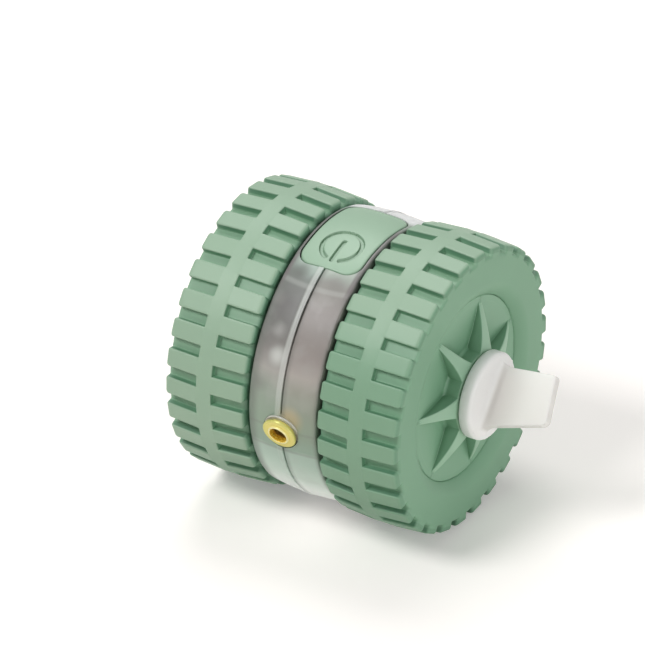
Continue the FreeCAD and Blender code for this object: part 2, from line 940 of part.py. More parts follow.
def laser_lens():
    """Plano-convex lens in the mouth of the barrel."""
    radius = barrel_radius - barrel_wall - press_gap
    front = barrel_front() - lens_recess
    point, beam = laser_frame()
    disc = laser_rod(radius, front - lens_thickness, front)
    ball = Part.makeSphere(radius * 2.2, point + beam * (front - radius * 2.2))
    return disc.common(ball)


def laser_diode():
    """Diode can with its carrier disc, at the back of the barrel."""
    radius = barrel_radius - barrel_wall - press_gap
    back = barrel_front() - barrel_length
    carrier = laser_rod(radius, back - diode_flange / 2, back + diode_flange)
    can = laser_rod(radius * 0.78, back + diode_flange, back + diode_length)
    return joined(carrier, [can])


# ---------------------------------------------------------------- inner frame
def slab(low, high):
    return block(-tyre_outer, tyre_outer, -tyre_radius, tyre_radius, low, high)


def side_plate():
    """Right-hand plate: a disc between the walls, narrower below, and the tray's cheek."""
    disc = rod(frame_radius, plate_inner, plate_outer).common(slab(frame_bottom, frame_top))
    half = plate_narrow_half
    waist = block(plate_inner, plate_outer, -half, half, plate_bottom, frame_bottom)
    front, back = tray_ends()
    cheek = block(plate_inner, plate_outer, front - tray_wall, back + tray_wall,
                  tray_floor() - tray_wall, plate_bottom)
    return joined(disc, [waist, cheek])


def tray_ends():
    half = battery_length / 2 + seat_gap
    return battery_centre - half, battery_centre + half


def tray_floor():
    return battery_top - battery_height - seat_gap


def tray():
    front, back = tray_ends()
    floor = tray_floor()
    edge = plate_inner + 0.2
    return [
        block(-edge, edge, front - tray_wall, back + tray_wall, floor - tray_wall, floor),
        block(-edge, edge, front - tray_wall, front, floor - tray_wall, floor + tray_height),
        block(-edge, edge, back, back + tray_wall, floor - tray_wall, floor + tray_height),
    ]


def board_bars():
    edge = plate_inner + 0.2
    half = board_bar_half
    return [block(-edge, edge, y - half, y + half, board_height - board_bar_depth, board_height)
            for y in board_screw_places()]


def board_screw_places():
    return board_front + front_screw_inset, board_back - rear_screw_inset


def motor_bar():
    """Cross bar under the right-hand train's motor."""
    y, z = train_places()[1]
    edge = plate_inner + 0.2
    top = z - motor_flat / 2 - press_gap
    return block(-edge, edge, y - motor_radius, y + motor_radius, top - 1.4, top)


def plate_bosses():
    """Bosses of the right-hand plate for the bush and the idler's pin."""
    idler = train_places()[0]
    return [
        rod(bush_radius + bush_boss_wall, plate_inner - plate_thickness, plate_inner + press_gap),
        rod(idler_pin_radius + bush_boss_wall, plate_inner - pin_grip, first_plane - seat_gap, *idler),
    ]


def plate_holes():
    idler, motor_place = train_places()
    y, z = window_place
    return [
        rod(bush_radius + press_gap, 0, pod_end),
        rod(idler_pin_radius + press_gap, 0, pod_end, *idler),
        rod(motor_nose_radius + running_gap, 0, pod_end, *motor_place),
        rod(window_radius, 0, pod_end, y, z),
        rod(window_radius, 0, pod_end, -y, z),
    ]


def laser_cradle():
    """Sleeve behind the front wall that holds the barrel."""
    return laser_rod(barrel_radius + cradle_wall, -bezel_tube_length - cradle_length, -bezel_tube_length)


def frame_cuts():
    posts = [rod(screw_post_radius + seat_gap, -tyre_outer, tyre_outer, y, z)
             for y, z in screw_places()]
    tube_room = laser_rod(bezel_tube_radius + seat_gap, -bezel_tube_length - seat_gap, overcut)
    bore = laser_rod(barrel_radius + running_gap, -barrel_length * 2, overcut)
    rear = block(-pod_end, pod_end, board_back - usb_length, tyre_radius,
                 board_height - seat_gap, board_height + board_thickness + usb_height + seat_gap * 2)
    pilots = [post(board_screw_radius + running_gap, board_height - board_screw_grip - seat_gap,
                   board_height + overcut, y) for y in board_screw_places()]
    return posts + [tube_room, bore, rear] + pilots


def inner_frame():
    """Moulded frame: curved front and rear walls, side plates, bars, tray and cradle."""
    drum = tube(frame_radius, frame_radius - frame_wall, -plate_outer, plate_outer)
    walls = drum.common(slab(frame_bottom, frame_top))
    right = side_plate()
    left = mirrored(right)
    bars = board_bars() + [motor_bar(), swapped(motor_bar())]
    bosses = plate_bosses() + [swapped(b) for b in plate_bosses()]
    body = joined(walls, [right, left, laser_cradle()] + bars + tray() + bosses)
    holes = plate_holes()
    body = body.cut(frame_cuts() + holes + [swapped(h) for h in holes])
    return body.common(rod(frame_reach, -pod_end, pod_end))


# ---------------------------------------------------------------- electrics
def board_half():
    return plate_inner - seat_gap


def circuit_board():
    half = board_half()
    top = board_height + board_thickness
    board = rounded_steps(-half, half, board_front, board_back, board_corner)
    plate = upright(board, board_height + press_gap, top)
    holes = [post(board_hole_radius, board_height, top + overcut, y) for y in board_screw_places()]
    return plate.cut(holes)


def board_screws():
    """Two small screws that hold the board to the frame's bars."""
    top = board_height + board_thickness + press_gap
    screws = []
    for y in board_screw_places():
        head = post(board_screw_head_radius, top, top + board_screw_head, y)
        shank = post(board_screw_radius, board_height - board_screw_grip, top + press_gap, y)
        screws.append(joined(head, [shank]))
    return Part.makeCompound(screws)


def on_board(x, y, size):
    """Block that sits on the board, centred at x, y."""
    width, length, height = size
    low = board_height + board_thickness + press_gap
    return block(x - width / 2, x + width / 2, y - length / 2, y + length / 2, low, low + height)


def tact_switch():
    """Square switch with a well for the plunger and a raised rim on its lid."""
    y = button_middle()
    body = on_board(0, y, (switch_size, switch_size, switch_height - switch_lid - press_gap))
    rim = post(switch_rim_radius, switch_top() - switch_lid - press_gap, switch_top(), y)
    floor = plunger_foot() - button_travel - seat_gap
    well = post(plunger_radius + running_gap, floor, switch_top() + overcut, y)
    return joined(body, [rim]).cut(well)


def usb_socket():
    """Charging socket: pressed steel shell with its tongue, open to the rear."""
    rear, height = usb_place()
    half_w = usb_width / 2
    half_h = usb_height / 2 - press_gap
    z = height + press_gap

    def pill(inset, start, length):
        h = half_h - inset
        outline = rounded_steps(-half_w + inset, half_w - inset, -h, h, h - press_gap)
        face = Part.Face(closed_wire(outline, lambda p: Vec(p[0], start, z + p[1])))
        return face.extrude(Vec(0, length, 0))

    start = rear - usb_length
    floor = start + usb_floor
    shell = pill(0, start, usb_length).cut(pill(usb_wall, floor, usb_length))
    blade = block(-half_w + usb_floor, half_w - usb_floor, floor - usb_wall, rear - usb_tongue,
                  z - usb_tongue / 2, z + usb_tongue / 2)
    return joined(shell, [blade])


def battery():
    """Flat lithium cell with rounded ends, standing in the tray."""
    half = battery_length / 2
    low = battery_top - battery_height
    steps = rounded_steps(-plate_inner + seat_gap, plate_inner - seat_gap,
                          battery_centre - half, battery_centre + half, battery_corner)
    return upright(steps, low, battery_top)


def ballast_weight():
    """Steel keel that fills the crown under the battery tray."""
    top = tray_floor() - tray_wall - seat_gap
    disc = rod(frame_reach, -plate_outer, plate_outer)
    room = block(-plate_outer, plate_outer, ballast_front, ballast_back, -tyre_radius, top)
    return disc.common(room)


# ---------------------------------------------------------------- tail plug
def tab():
    """Flat tapered pull tab, leaning in its own plane."""
    face_x = boss_face + plug_gap + plug_thickness
    turn = math.radians(tab_end_turn)
    end = (face_x + tab_length, tab_rise)
    lean = (math.sin(turn) * tab_end_half, math.cos(turn) * tab_end_half)
    corners = [
        (face_x - 1.5, -tab_root_half),
        (end[0] + lean[0], end[1] - lean[1]),
        (end[0] - lean[0], end[1] + lean[1]),
        (face_x - 1.5, tab_root_half),
    ]
    body = upright(corners, -tab_thickness / 2, tab_thickness / 2)
    tips = [e for e in body.Edges
            if abs(e.BoundBox.ZLength - tab_thickness) < 1e-6 and e.BoundBox.XMin > face_x + 2]
    body = body.makeFillet(tab_corner, tips)
    body.rotate(CENTRE, ALONG, tab_turn)
    return body


def tail_plug():
    """Soft plug: stem for the hub's socket, rounded disc and pull tab."""
    back = boss_face + plug_gap
    front = back + plug_thickness
    stem = socket_radius - plug_clearance
    tail = socket_bottom + seat_gap * 2
    disc = turned([
        (tail, 0),
        (tail, stem - plug_tip_bevel),
        (tail + plug_tip_bevel, stem),
        (back, stem),
        (back, plug_radius - plug_bevel),
        (back + plug_bevel, plug_radius),
        (front - plug_bevel, plug_radius),
        (front, plug_radius - plug_bevel),
        (front, 0),
    ])
    return joined(disc, [tab()])


# ---------------------------------------------------------------- nodes
def nodes():
    wheel = {
        "tyre": tyre(),
        "hub": hub(),
        "axle": axle(),
        "hub_screw": hub_screw(),
    }
    train = {
        "drive_gear": drive_gear(),
        "idler_gear": idler_gear(),
        "idler_pin": idler_pin(),
        "motor": motor(),
        "motor_shaft": motor_shaft(),
        "motor_pinion": motor_pinion(),
        "outer_bush": outer_bush(),
        "inner_bush": inner_bush(),
    }
    parts = {
        "shell_right": shell_right(),
        "shell_left": shell_left(),
        "case_screws": case_screws(),
        "inner_frame": inner_frame(),
        "circuit_board": circuit_board(),
        "board_screws": board_screws(),
        "controller_chip": on_board(0, board_front + controller_inset, controller_size),
        "motor_driver_chip": on_board(0, button_middle() + driver_setback, driver_size),
        "status_led": on_board(board_half() - led_inset[0], board_front + led_inset[1], led_size),
        "tact_switch": tact_switch(),
        "switch_plunger": switch_plunger(),
        "usb_socket": usb_socket(),
        "battery": battery(),
        "ballast_weight": ballast_weight(),
        "power_button": power_button(),
        "laser_bezel": laser_bezel(),
        "laser_collar": laser_collar(),
        "laser_barrel": laser_barrel(),
        "laser_lens": laser_lens(),
        "laser_diode": laser_diode(),
        "tail_plug": tail_plug(),
    }
    for name, shape in wheel.items():
        parts[name + "_right"] = shape
        parts[name + "_left"] = mirrored(shape)
    for name, shape in train.items():
        parts[name + "_right"] = shape
        parts[name + "_left"] = swapped(shape)
    return parts


def main():
    os.makedirs("parts", exist_ok=True)
    for name, shape in nodes().items():
        placed = shape.copy()
        placed.translate(UP * tyre_radius)
        placed.exportStep("parts/%s.step" % name)


main()
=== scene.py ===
import math

import bmesh
import bpy
import numpy as np
from mathutils import Matrix, Vector


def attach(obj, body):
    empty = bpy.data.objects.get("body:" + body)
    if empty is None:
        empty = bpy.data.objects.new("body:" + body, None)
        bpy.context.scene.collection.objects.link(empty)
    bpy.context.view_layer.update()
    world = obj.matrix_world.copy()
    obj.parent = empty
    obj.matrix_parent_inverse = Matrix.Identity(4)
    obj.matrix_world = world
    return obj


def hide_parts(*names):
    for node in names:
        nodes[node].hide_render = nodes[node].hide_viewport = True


# Two-wheeled rolling laser toy. Shapes are drawn in millimetres about the wheel axis (X),
# laser towards -Y, and are lifted so that the treads stand on Z = 0. Angles round the axis
# go from the front (-Y) downwards.

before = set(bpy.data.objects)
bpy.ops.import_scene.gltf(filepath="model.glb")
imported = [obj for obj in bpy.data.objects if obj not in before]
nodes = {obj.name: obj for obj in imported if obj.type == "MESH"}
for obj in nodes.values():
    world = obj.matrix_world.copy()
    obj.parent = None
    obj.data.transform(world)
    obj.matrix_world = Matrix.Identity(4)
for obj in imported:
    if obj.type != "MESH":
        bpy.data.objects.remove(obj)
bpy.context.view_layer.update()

MM = 0.001
AXLE_HEIGHT = 39.0


# ---------------------------------------------------------------- mesh helpers
def around(x, r, degrees):
    """Points at x, radius r and angle from the front downwards; arrays broadcast."""
    a = np.radians(degrees)
    x, r, a = np.broadcast_arrays(x, r, a)
    return np.stack([x, -r * np.cos(a), -r * np.sin(a)], -1)


def grid_faces(rows, cols, close_rows=False, close_cols=False, start=0):
    """Quads of a grid of points laid out row by row."""
    j = np.arange(rows if close_rows else rows - 1)
    i = np.arange(cols if close_cols else cols - 1)
    jj, ii = np.meshgrid(j, i, indexing="ij")
    j2, i2 = (jj + 1) % rows, (ii + 1) % cols
    quads = np.stack([jj * cols + ii, j2 * cols + ii, j2 * cols + i2, jj * cols + i2], -1)
    return quads.reshape(-1, 4) + start


class Shape:
    """Collects closed meshes in millimetres, to become one object."""

    def __init__(self):
        self.verts = []
        self.faces = []
        self.count = 0

    def add(self, points, faces):
        points = np.asarray(points, float).reshape(-1, 3)
        self.faces += [[int(v) + self.count for v in f] for f in faces]
        self.verts.append(points)
        self.count += len(points)
        return self

    def revolve(self, profile, steps=144, axis=None, ends=False):
        """Closed profile of (along, radius) turned round the wheel axis or another frame."""
        profile = np.array(profile, float)
        angle = np.arange(steps) * 360.0 / steps
        points = around(profile[:, 0, None], profile[:, 1, None], angle[None, :])
        if axis is not None:
            points = axis(points)
        faces = grid_faces(len(profile), steps, not ends, True).tolist()
        if ends:
            last = (len(profile) - 1) * steps
            faces.append(list(range(steps)))
            faces.append([last + k for k in reversed(range(steps))])
        return self.add(points, faces)

    def loft(self, sections):
        """Closed loops of equal count, capped at both ends."""
        sections = np.array(sections, float)
        rows, cols = sections.shape[:2]
        faces = grid_faces(rows, cols, False, True).tolist()
        faces.append(list(range(cols)))
        faces.append([(rows - 1) * cols + k for k in reversed(range(cols))])
        return self.add(sections, faces)

    def block(self, x0, x1, y0, y1, z0, z1, bevel=0.15):
        """Box with bevelled upright edges and bevelled top and bottom."""
        loops = []
        for z, inset in ((z0, bevel), (z0 + bevel, 0), (z1 - bevel, 0), (z1, bevel)):
            a, b, c, d = x0 + inset, x1 - inset, y0 + inset, y1 - inset
            k = bevel
            loops.append([
                (a + k, c, z), (b - k, c, z), (b, c + k, z), (b, d - k, z),
                (b - k, d, z), (a + k, d, z), (a, d - k, z), (a, c + k, z),
            ])
        return self.loft(loops)


def linked(name, data):
    """New object in the scene."""
    obj = bpy.data.objects.new(name, data)
    bpy.context.scene.collection.objects.link(obj)
    return obj


def mesh_object(name, shape):
    """Object made of a shape's closed meshes, with its normals turned outwards."""
    points = (np.concatenate(shape.verts) + np.array([0, 0, AXLE_HEIGHT])) * MM
    mesh = bpy.data.meshes.new(name)
    mesh.from_pydata(points.tolist(), [], shape.faces)
    bm = bmesh.new()
    bm.from_mesh(mesh)
    bmesh.ops.recalc_face_normals(bm, faces=bm.faces)
    bm.to_mesh(mesh)
    bm.free()
    return linked(name, mesh)


def finish_object(obj, body, slot, replaced, sharp=35.0):
    """Smooths edges below the sharp angle, gives the object its slot's material, and hangs it
    on its body in place of a CAD node."""
    mesh = obj.data
    mesh.polygons.foreach_set("use_smooth", [True] * len(mesh.polygons))
    mesh.set_sharp_from_angle(angle=math.radians(sharp))
    mesh.materials.clear()
    mesh.materials.append(SLOTS[slot])
    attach(obj, body)
    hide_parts(replaced)


def piece(name, shape, body, slot, replaced, sharp=35.0):
    finish_object(mesh_object(name, shape), body, slot, replaced, sharp)


def mirrored(shape):
    """The same shape on the body's other side."""
    out = Shape()
    out.verts = [points * np.array([-1, 1, 1]) for points in shape.verts]
    out.faces = [face[::-1] for face in shape.faces]
    out.count = shape.count
    return out


def fillet_drop(distance, radius):
    """Depth lost at a distance from a rounded edge."""
    d = np.clip(radius - np.asarray(distance, float), 0, radius)
    return radius - np.sqrt(radius * radius - d * d)


def drop(distance, radius):
    """The same for one place, as a plain number."""
    return float(fillet_drop(distance, radius))


# ---------------------------------------------------------------- sizes that materials share
TYRE_MIDDLE = 22.4          # along the axle, from the body's middle
TYRE_INNER = 10.7
TYRE_OUTER = 34.1
TYRE_RADIUS = 39.0
BAND_HALF = 2.2             # half width of the plain band between the two rows of lugs
CROWN_DROP = 0.65           # radius lost from the band to the tyre's side
HUB_FACE = 32.02
HUB_RADIUS = 24.78
BOSS_RADIUS = 11.4          # the CAD's is 12.3, which would show beside the plug's disc
BOSS_FACE = 36.42
BOSS_EDGE = 0.2
ARMS = 7
ARM_ANGLE = -5.1
ARM_TIP = 23.4
ARM_ROOT_DROP = 0.15        # the arms end this far under the boss's face
ARM_EDGE = 0.26
ARM_TIP_HALF = 0.72
ARM_ROOT_HALF = 2.9
ARM_BULGE = 0.42            # how far the crest bulges between tip and boss
LASER_SEAT = around(0.0, 38.7, 5.4)     # centre of the ring's face
LASER_TILT = math.radians(19.2)
LASER_BEAM = np.array([0, -math.cos(LASER_TILT), -math.sin(LASER_TILT)])
PAINTED_SHADE_REACH = 0.003        # metres over which a corner counts as narrow and takes painted shade


# ---------------------------------------------------------------- materials
def srgb(r, g, b):
    """0-255 colour to linear."""
    def lin(c):
        c /= 255.0
        return c / 12.92 if c <= 0.04045 else ((c + 0.055) / 1.055) ** 2.4
    return (lin(r), lin(g), lin(b), 1.0)


def scaled(colour, factor):
    return tuple(min(1.0, c * factor) for c in colour[:3]) + (1.0,)


class Finish:
    """A procedural material built round one Principled shader."""

    def __init__(self, name, **sockets):
        self.slot = name
        self.material = bpy.data.materials.new(name)
        self.material.use_nodes = True
        self.tree = self.material.node_tree
        self.shader = self.tree.nodes["Principled BSDF"]
        self.output = self.tree.nodes["Material Output"]
        for key, value in sockets.items():
            self.shader.inputs[key.replace("_", " ")].default_value = value
        coords = self.tree.nodes.new("ShaderNodeTexCoord")
        self.place = coords.outputs["Object"]

    def node(self, kind, inputs=None, **settings):
        made = self.tree.nodes.new(kind)
        for key, value in settings.items():
            setattr(made, key, value)
        for key, value in (inputs or {}).items():
            if isinstance(value, bpy.types.NodeSocket):
                self.tree.links.new(value, made.inputs[key])
            else:
                made.inputs[key].default_value = value
        return made

    def noise(self, scale, detail=2.0, roughness=0.5, place=None):
        """Noise by size in features per metre, from 0 to 1."""
        made = self.node("ShaderNodeTexNoise", {
            "Vector": place or self.place, "Scale": scale, "Detail": detail,
            "Roughness": roughness,
        })
        return made.outputs["Fac"]

    def ramp(self, value, stops):
        made = self.node("ShaderNodeValToRGB", {"Fac": value})
        elements = made.color_ramp.elements
        while len(elements) < len(stops):
            elements.new(0.5)
        for element, (at, colour) in zip(elements, stops):
            element.position = at
            element.color = colour if hasattr(colour, "__len__") else (colour,) * 3 + (1,)
        return made.outputs["Color"]

    def span(self, value, low, high):
        """0-1 value mapped to low-high."""
        made = self.node("ShaderNodeMapRange", {"Value": value, "To Min": low, "To Max": high})
        return made.outputs["Result"]

    def set(self, key, socket):
        self.tree.links.new(socket, self.shader.inputs[key])
        return self

    def bump(self, height, distance, strength=1.0, after=None):
        made = self.node("ShaderNodeBump", {
            "Height": height, "Distance": distance, "Strength": strength,
        })
        if after is not None:
            self.tree.links.new(after, made.inputs["Normal"])
        return made.outputs["Normal"]


def measure(f, kind, a, b=None, c=None):
    """One step of arithmetic on sockets or numbers."""
    inputs = {k: v for k, v in enumerate((a, b, c)) if v is not None}
    return f.node("ShaderNodeMath", inputs, operation=kind).outputs[0]


def product(f, first, *others):
    for other in others:
        first = measure(f, "MULTIPLY", first, other)
    return first


def linear(f, value, low, high, to_high=1.0):
    """Straight rise from 0 at low to to_high at high."""
    return f.node("ShaderNodeMapRange", {
        "Value": value, "From Min": low, "From Max": high, "To Max": to_high,
    }).outputs["Result"]


def rising(f, value, low, high, to_low=0.0, to_high=1.0):
    """Smooth step of a length in metres between two places in millimetres."""
    return f.node("ShaderNodeMapRange", {
        "Value": value, "From Min": low * MM, "From Max": high * MM,
        "To Min": to_low, "To Max": to_high,
    }, interpolation_type="SMOOTHSTEP").outputs["Result"]


def blended(f, share, first, second):
    return f.node("ShaderNodeMixRGB", {
        "Fac": share, "Color1": first, "Color2": second}).outputs["Color"]


def moulded(name, colour, roughness, grain=0.000012, speckle=0.035, size=4500.0, painted_recess_shade=0.0,
            zones=None, **sockets):
    """Moulded plastic or rubber: soft colour drift, fine texture, uneven gloss. The recess amount
    is painted shade: how much deeper and more saturated the colour gets in narrow corners."""
    f = Finish(name, **sockets)
    drift = f.noise(60.0, 3.0)
    fine = f.noise(size, 3.0, 0.6)
    half = product(f, measure(f, "ADD", drift, fine), 0.5)
    shade = f.ramp(half, [
        (0.3, scaled(colour, 1 - speckle)), (0.5, colour), (0.7, scaled(colour, 1 + speckle)),
    ])
    if zones:
        shade = zones(f, shade)
    # painted shade: darker, more saturated colour in narrow corners, from ambient occlusion
    if painted_recess_shade:
        near = f.node("ShaderNodeAmbientOcclusion", {"Distance": PAINTED_SHADE_REACH}, samples=8,
                      only_local=True).outputs["AO"]
        corner_shade_colour = tuple(c ** (1 + painted_recess_shade) for c in colour[:3]) + (1.0,)
        shade = blended(f, linear(f, near, 0.25, 0.85), corner_shade_colour, shade)
    f.set("Base Color", shade)
    f.set("Roughness", f.span(fine, roughness - 0.06, roughness + 0.06))
    f.set("Normal", f.bump(fine, grain, 0.6))
    return f


def wheel_place(f):
    """The X, Y and Z sockets, the height over the axle and the radius from it."""
    axes = f.node("ShaderNodeSeparateXYZ", {"Vector": f.place}).outputs
    height = measure(f, "SUBTRACT", axes["Z"], AXLE_HEIGHT * MM)
    flat = f.node("ShaderNodeCombineXYZ", {"Y": axes["Y"], "Z": height}).outputs["Vector"]
    radius = f.node("ShaderNodeVectorMath", {0: flat}, operation="LENGTH").outputs["Value"]
    return axes, height, radius


def tread_painted_light(f, shade):
    """Pale crests, a painted sheen, over dark green groove walls as painted shade. The crests are
    darker low down, and more so on the right wheel, also as painted shade."""
    axes, height, radius = wheel_place(f)
    across = measure(f, "ABSOLUTE", axes["X"])
    aside = measure(f, "ABSOLUTE", measure(f, "SUBTRACT", across, TYRE_MIDDLE * MM))
    fall = linear(f, aside, BAND_HALF * MM, (TYRE_OUTER - TYRE_MIDDLE) * MM, CROWN_DROP * MM)
    depth = measure(f, "SUBTRACT", measure(f, "SUBTRACT", TYRE_RADIUS * MM, fall), radius)
    tread = product(f, rising(f, depth, 2.9, 2.5), rising(f, aside, 11.65, 11.0))
    # painted shade: darker crests low down, and more so on the right wheel
    painted_shade = product(f, rising(f, axes["X"], 8.0, 12.0), rising(f, height, 35.0, 20.0),
                     rising(f, height, -8.0, -28.0, 0.75, 1.0))
    painted_shade = measure(f, "MAXIMUM", painted_shade, rising(f, height, -12.0, -34.0, 0.0, 0.8))
    crest_painted_light = blended(f, painted_shade, TREAD_PAINTED_SHEEN, TREAD_PAINTED_SHADE)
    # painted sheen on the crests, fainter on the groove floors
    sheen_share = product(f, tread, rising(f, depth, 1.6, 0.5, 0.5, 0.85))
    pale = blended(f, sheen_share, shade, crest_painted_light)
    # painted shade on the groove walls and on the lug ends beside the body
    walls = product(f, rising(f, depth, 0.16, 0.55), rising(f, depth, 1.75, 1.45),
                    rising(f, aside, 11.4, 10.6, 0.35, 1.0))
    shade_beside_body = product(f, rising(f, across, 12.3, 11.1), rising(f, depth, 0.25, 0.9), 0.75)
    walls = measure(f, "MAXIMUM", walls, shade_beside_body)
    return blended(f, product(f, walls, 0.88), pale, TREAD_WALL_SHADE)


def hub_painted_light(f, shade):
    """Painted highlight along the arms' crests and, faintly, painted light towards the hub's rim.
    """
    axes, _, radius = wheel_place(f)
    t = linear(f, radius, ARM_TIP * MM, BOSS_RADIUS * MM)
    bulge = product(f, t, measure(f, "SUBTRACT", 1.0, t))
    share = measure(f, "MULTIPLY_ADD", bulge, ARM_BULGE, t)
    rise = (BOSS_FACE - ARM_ROOT_DROP - HUB_FACE) * MM
    crest = measure(f, "MULTIPLY_ADD", share, rise, HUB_FACE * MM)
    under = measure(f, "SUBTRACT", crest, measure(f, "ABSOLUTE", axes["X"]))
    # painted highlight along the crests, and painted light towards the rim
    crest_highlight = product(f, rising(f, under, 0.3, 0.1), rising(f, radius, ARM_TIP, 22.6), 0.9)
    rim = rising(f, radius, 15.0, 23.0, 0.0, 0.15)
    return blended(f, measure(f, "MAXIMUM", crest_highlight, rim), shade, HUB_PAINTED_HIGHLIGHT)


def ring_zones(f, shade):
    """Deep gold down the bore, a pale lip round it and a greener outer edge."""
    seat = ((LASER_SEAT + [0, 0, AXLE_HEIGHT]) * MM).tolist()
    away = f.node("ShaderNodeVectorMath", {0: f.place, 1: seat},
                  operation="SUBTRACT").outputs["Vector"]
    along = f.node("ShaderNodeVectorMath", {0: away, 1: LASER_BEAM.tolist()},
                   operation="DOT_PRODUCT").outputs["Value"]
    far = f.node("ShaderNodeVectorMath", {0: away}, operation="LENGTH").outputs["Value"]
    off_beam = measure(f, "SUBTRACT", product(f, far, far), product(f, along, along))
    across = measure(f, "SQRT", off_beam)
    fleck = f.ramp(f.noise(2600.0, 3.0, 0.6), [(0.42, RING_DEEP), (0.6, RING_GOLD)])
    shade = blended(f, rising(f, across, 3.9, 4.8, 0.0, 0.55), shade, RING_EDGE)
    lip = product(f, rising(f, across, 3.05, 2.85), rising(f, across, 2.5, 2.62), 0.7)
    shade = blended(f, lip, shade, RING_LIP)
    return blended(f, rising(f, across, 2.5, 2.42), shade, fleck)


def plug_painted_shade(f, shade):
    """Painted shade: the tab, which stands out in the light, is a little greyer than the disc."""
    along = f.node("ShaderNodeSeparateXYZ", {"Vector": f.place}).outputs["X"]
    return blended(f, rising(f, along, 40.6, 41.6), shade, PLUG_TAB_PAINTED_SHADE)


def metal(name, colour, roughness, streak=0.08, size=2500.0, stretch=(1, 1, 1), **sockets):
    """Machined or plated metal with fine marks drawn out along one direction."""
    f = Finish(name, Metallic=1.0, **sockets)
    turned = f.node("ShaderNodeMapping", {"Vector": f.place, "Scale": stretch})
    marks = f.noise(size, 4.0, 0.7, turned.outputs["Vector"])
    f.set("Base Color", f.ramp(marks, [(0.3, scaled(colour, 0.88)), (0.7, colour)]))
    f.set("Roughness", f.span(marks, roughness - streak, roughness + streak))
    f.set("Normal", f.bump(marks, 0.00001, 0.3))
    return f


def laminate():
    """Green solder mask with traces under it and bare copper at random pads."""
    f = Finish("board_laminate", Coat_Weight=0.3, Coat_Roughness=0.15)
    cells = f.node("ShaderNodeTexVoronoi", {"Vector": f.place, "Scale": 420.0},
                   feature="DISTANCE_TO_EDGE", distance="CHEBYCHEV")
    lines = f.ramp(cells.outputs["Distance"], [(0.04, 1.0), (0.07, 0.0)])
    green = f.node("ShaderNodeMixRGB", {
        "Fac": lines, "Color1": srgb(36, 92, 54), "Color2": srgb(62, 128, 78),
    })
    f.set("Base Color", green.outputs["Color"])
    f.set("Roughness", f.span(f.noise(3000.0), 0.28, 0.42))
    f.set("Normal", f.bump(lines, 0.00002, 0.5))
    return f


def frosted():
    """Frosted clear plastic. Its colour goes by height, for what stands behind the wall, with the
    light and shade on the wall painted in. Over that come a warm right side, hazy spots of painted
    highlight and painted shade, faint lines, darker flanks, painted shade beside the button, a
    painted shadow right of the seam with a light strip left of it, and a paler, clearer rear."""
    f = Finish("shell_plastic", Roughness=0.3, IOR=1.5, Specular_IOR_Level=0.8)
    axes = f.node("ShaderNodeSeparateXYZ", {"Vector": f.place}).outputs
    across = axes["X"]
    flank = measure(f, "ABSOLUTE", across)
    level = measure(f, "SUBTRACT", axes["Z"], AXLE_HEIGHT * MM)
    haze = f.noise(150.0, 2.0, 0.5)
    height = measure(f, "ADD", level, f.span(haze, -1.2 * MM, 1.2 * MM))

    low, high = SHELL_RAMP[0][0], SHELL_RAMP[-1][0]
    share = linear(f, height, low * MM, high * MM)
    colour = f.ramp(share, [((z - low) / (high - low), srgb(*rgb)) for z, rgb in SHELL_RAMP])
    right_side = rising(f, across, -0.2, 0.6)
    cloud = f.node("ShaderNodeMapRange", {"Value": haze, "From Min": 0.45, "From Max": 0.7},
                   interpolation_type="SMOOTHSTEP").outputs["Result"]
    layers = [
        (SHELL_BLUSH, (right_side, rising(f, height, -6.0, 14.0), 0.22)),
        (SHELL_UMBER, (rising(f, height, -7.0, -3.0), rising(f, height, 12.0, 8.5),
                       right_side, 0.2)),
        (SHELL_CLOUD, (cloud, 0.16)),
        (SHELL_FLANK, (rising(f, across, -6.3, -9.0), 0.55)),
        (SHELL_FLANK, (rising(f, across, 8.6, 10.0), 0.45)),
    ]
    for (x, y, z), radius, soft, shade, amount in SHELL_SPOTS:
        away = f.node("ShaderNodeVectorMath", {
            0: f.place, 1: [x * MM, y * MM, (z + AXLE_HEIGHT) * MM],
        }, operation="DISTANCE").outputs["Value"]
        layers.append((shade, (rising(f, away, radius + soft, radius - soft), amount)))
    for z, half, shade, amount in SHELL_LINES:
        off = measure(f, "ABSOLUTE", measure(f, "SUBTRACT", level, z * MM))
        layers.append((shade, (rising(f, off, half * 2.2, half * 0.4), amount)))
    rear = rising(f, axes["Y"], 10.5, 14.0)
    layers += [
        # painted shade beside the button
        (SHELL_PAINTED_SHADE, (rising(f, flank, 8.2, 9.0), rising(f, level, 28.0, 32.0),
                       rising(f, axes["Y"], 9.0, 3.0), 0.75)),
        # painted shadow right of the seam, and a light strip left of it
        (SHELL_PAINTED_SHADOW, (rising(f, across, 2.0, 0.3), rising(f, across, -0.05, 0.1), 0.42)),
        (SHELL_STRIP, (rising(f, across, -2.0, -1.3), rising(f, across, 0.05, -0.15),
                       rising(f, level, -8.0, 16.0, 0.1, 0.42))),
        (SHELL_CLEAR, (rear, rising(f, level, 18.0, 27.0))),
    ]
    for shade, shares in layers:
        colour = blended(f, product(f, *shares), colour, shade)
    f.set("Base Color", colour)
    f.set("Transmission Weight", product(f, rear, 0.3))
    fine = f.noise(3000.0, 3.0, 0.6)
    f.set("Roughness", f.span(fine, 0.4, 0.5))
    f.set("Normal", f.bump(fine, 0.000004, 0.4))
    return f


SAGE = srgb(118, 163, 131)
BUTTON_SAGE = srgb(140, 172, 145)
# painted sheen, painted shade and painted wall shade of the treads
TREAD_PAINTED_SHEEN = srgb(146, 172, 148)
TREAD_PAINTED_SHADE = srgb(106, 148, 117)
TREAD_WALL_SHADE = srgb(66, 116, 86)
# painted highlight of the hub's arms and rim
HUB_PAINTED_HIGHLIGHT = srgb(150, 189, 160)
# painted shade of the plug's tab
PLUG_TAB_PAINTED_SHADE = srgb(220, 218, 214)
RING_DEEP = srgb(206, 156, 28)
RING_GOLD = srgb(250, 222, 90)
RING_EDGE = srgb(186, 190, 108)
RING_LIP = srgb(244, 238, 190)
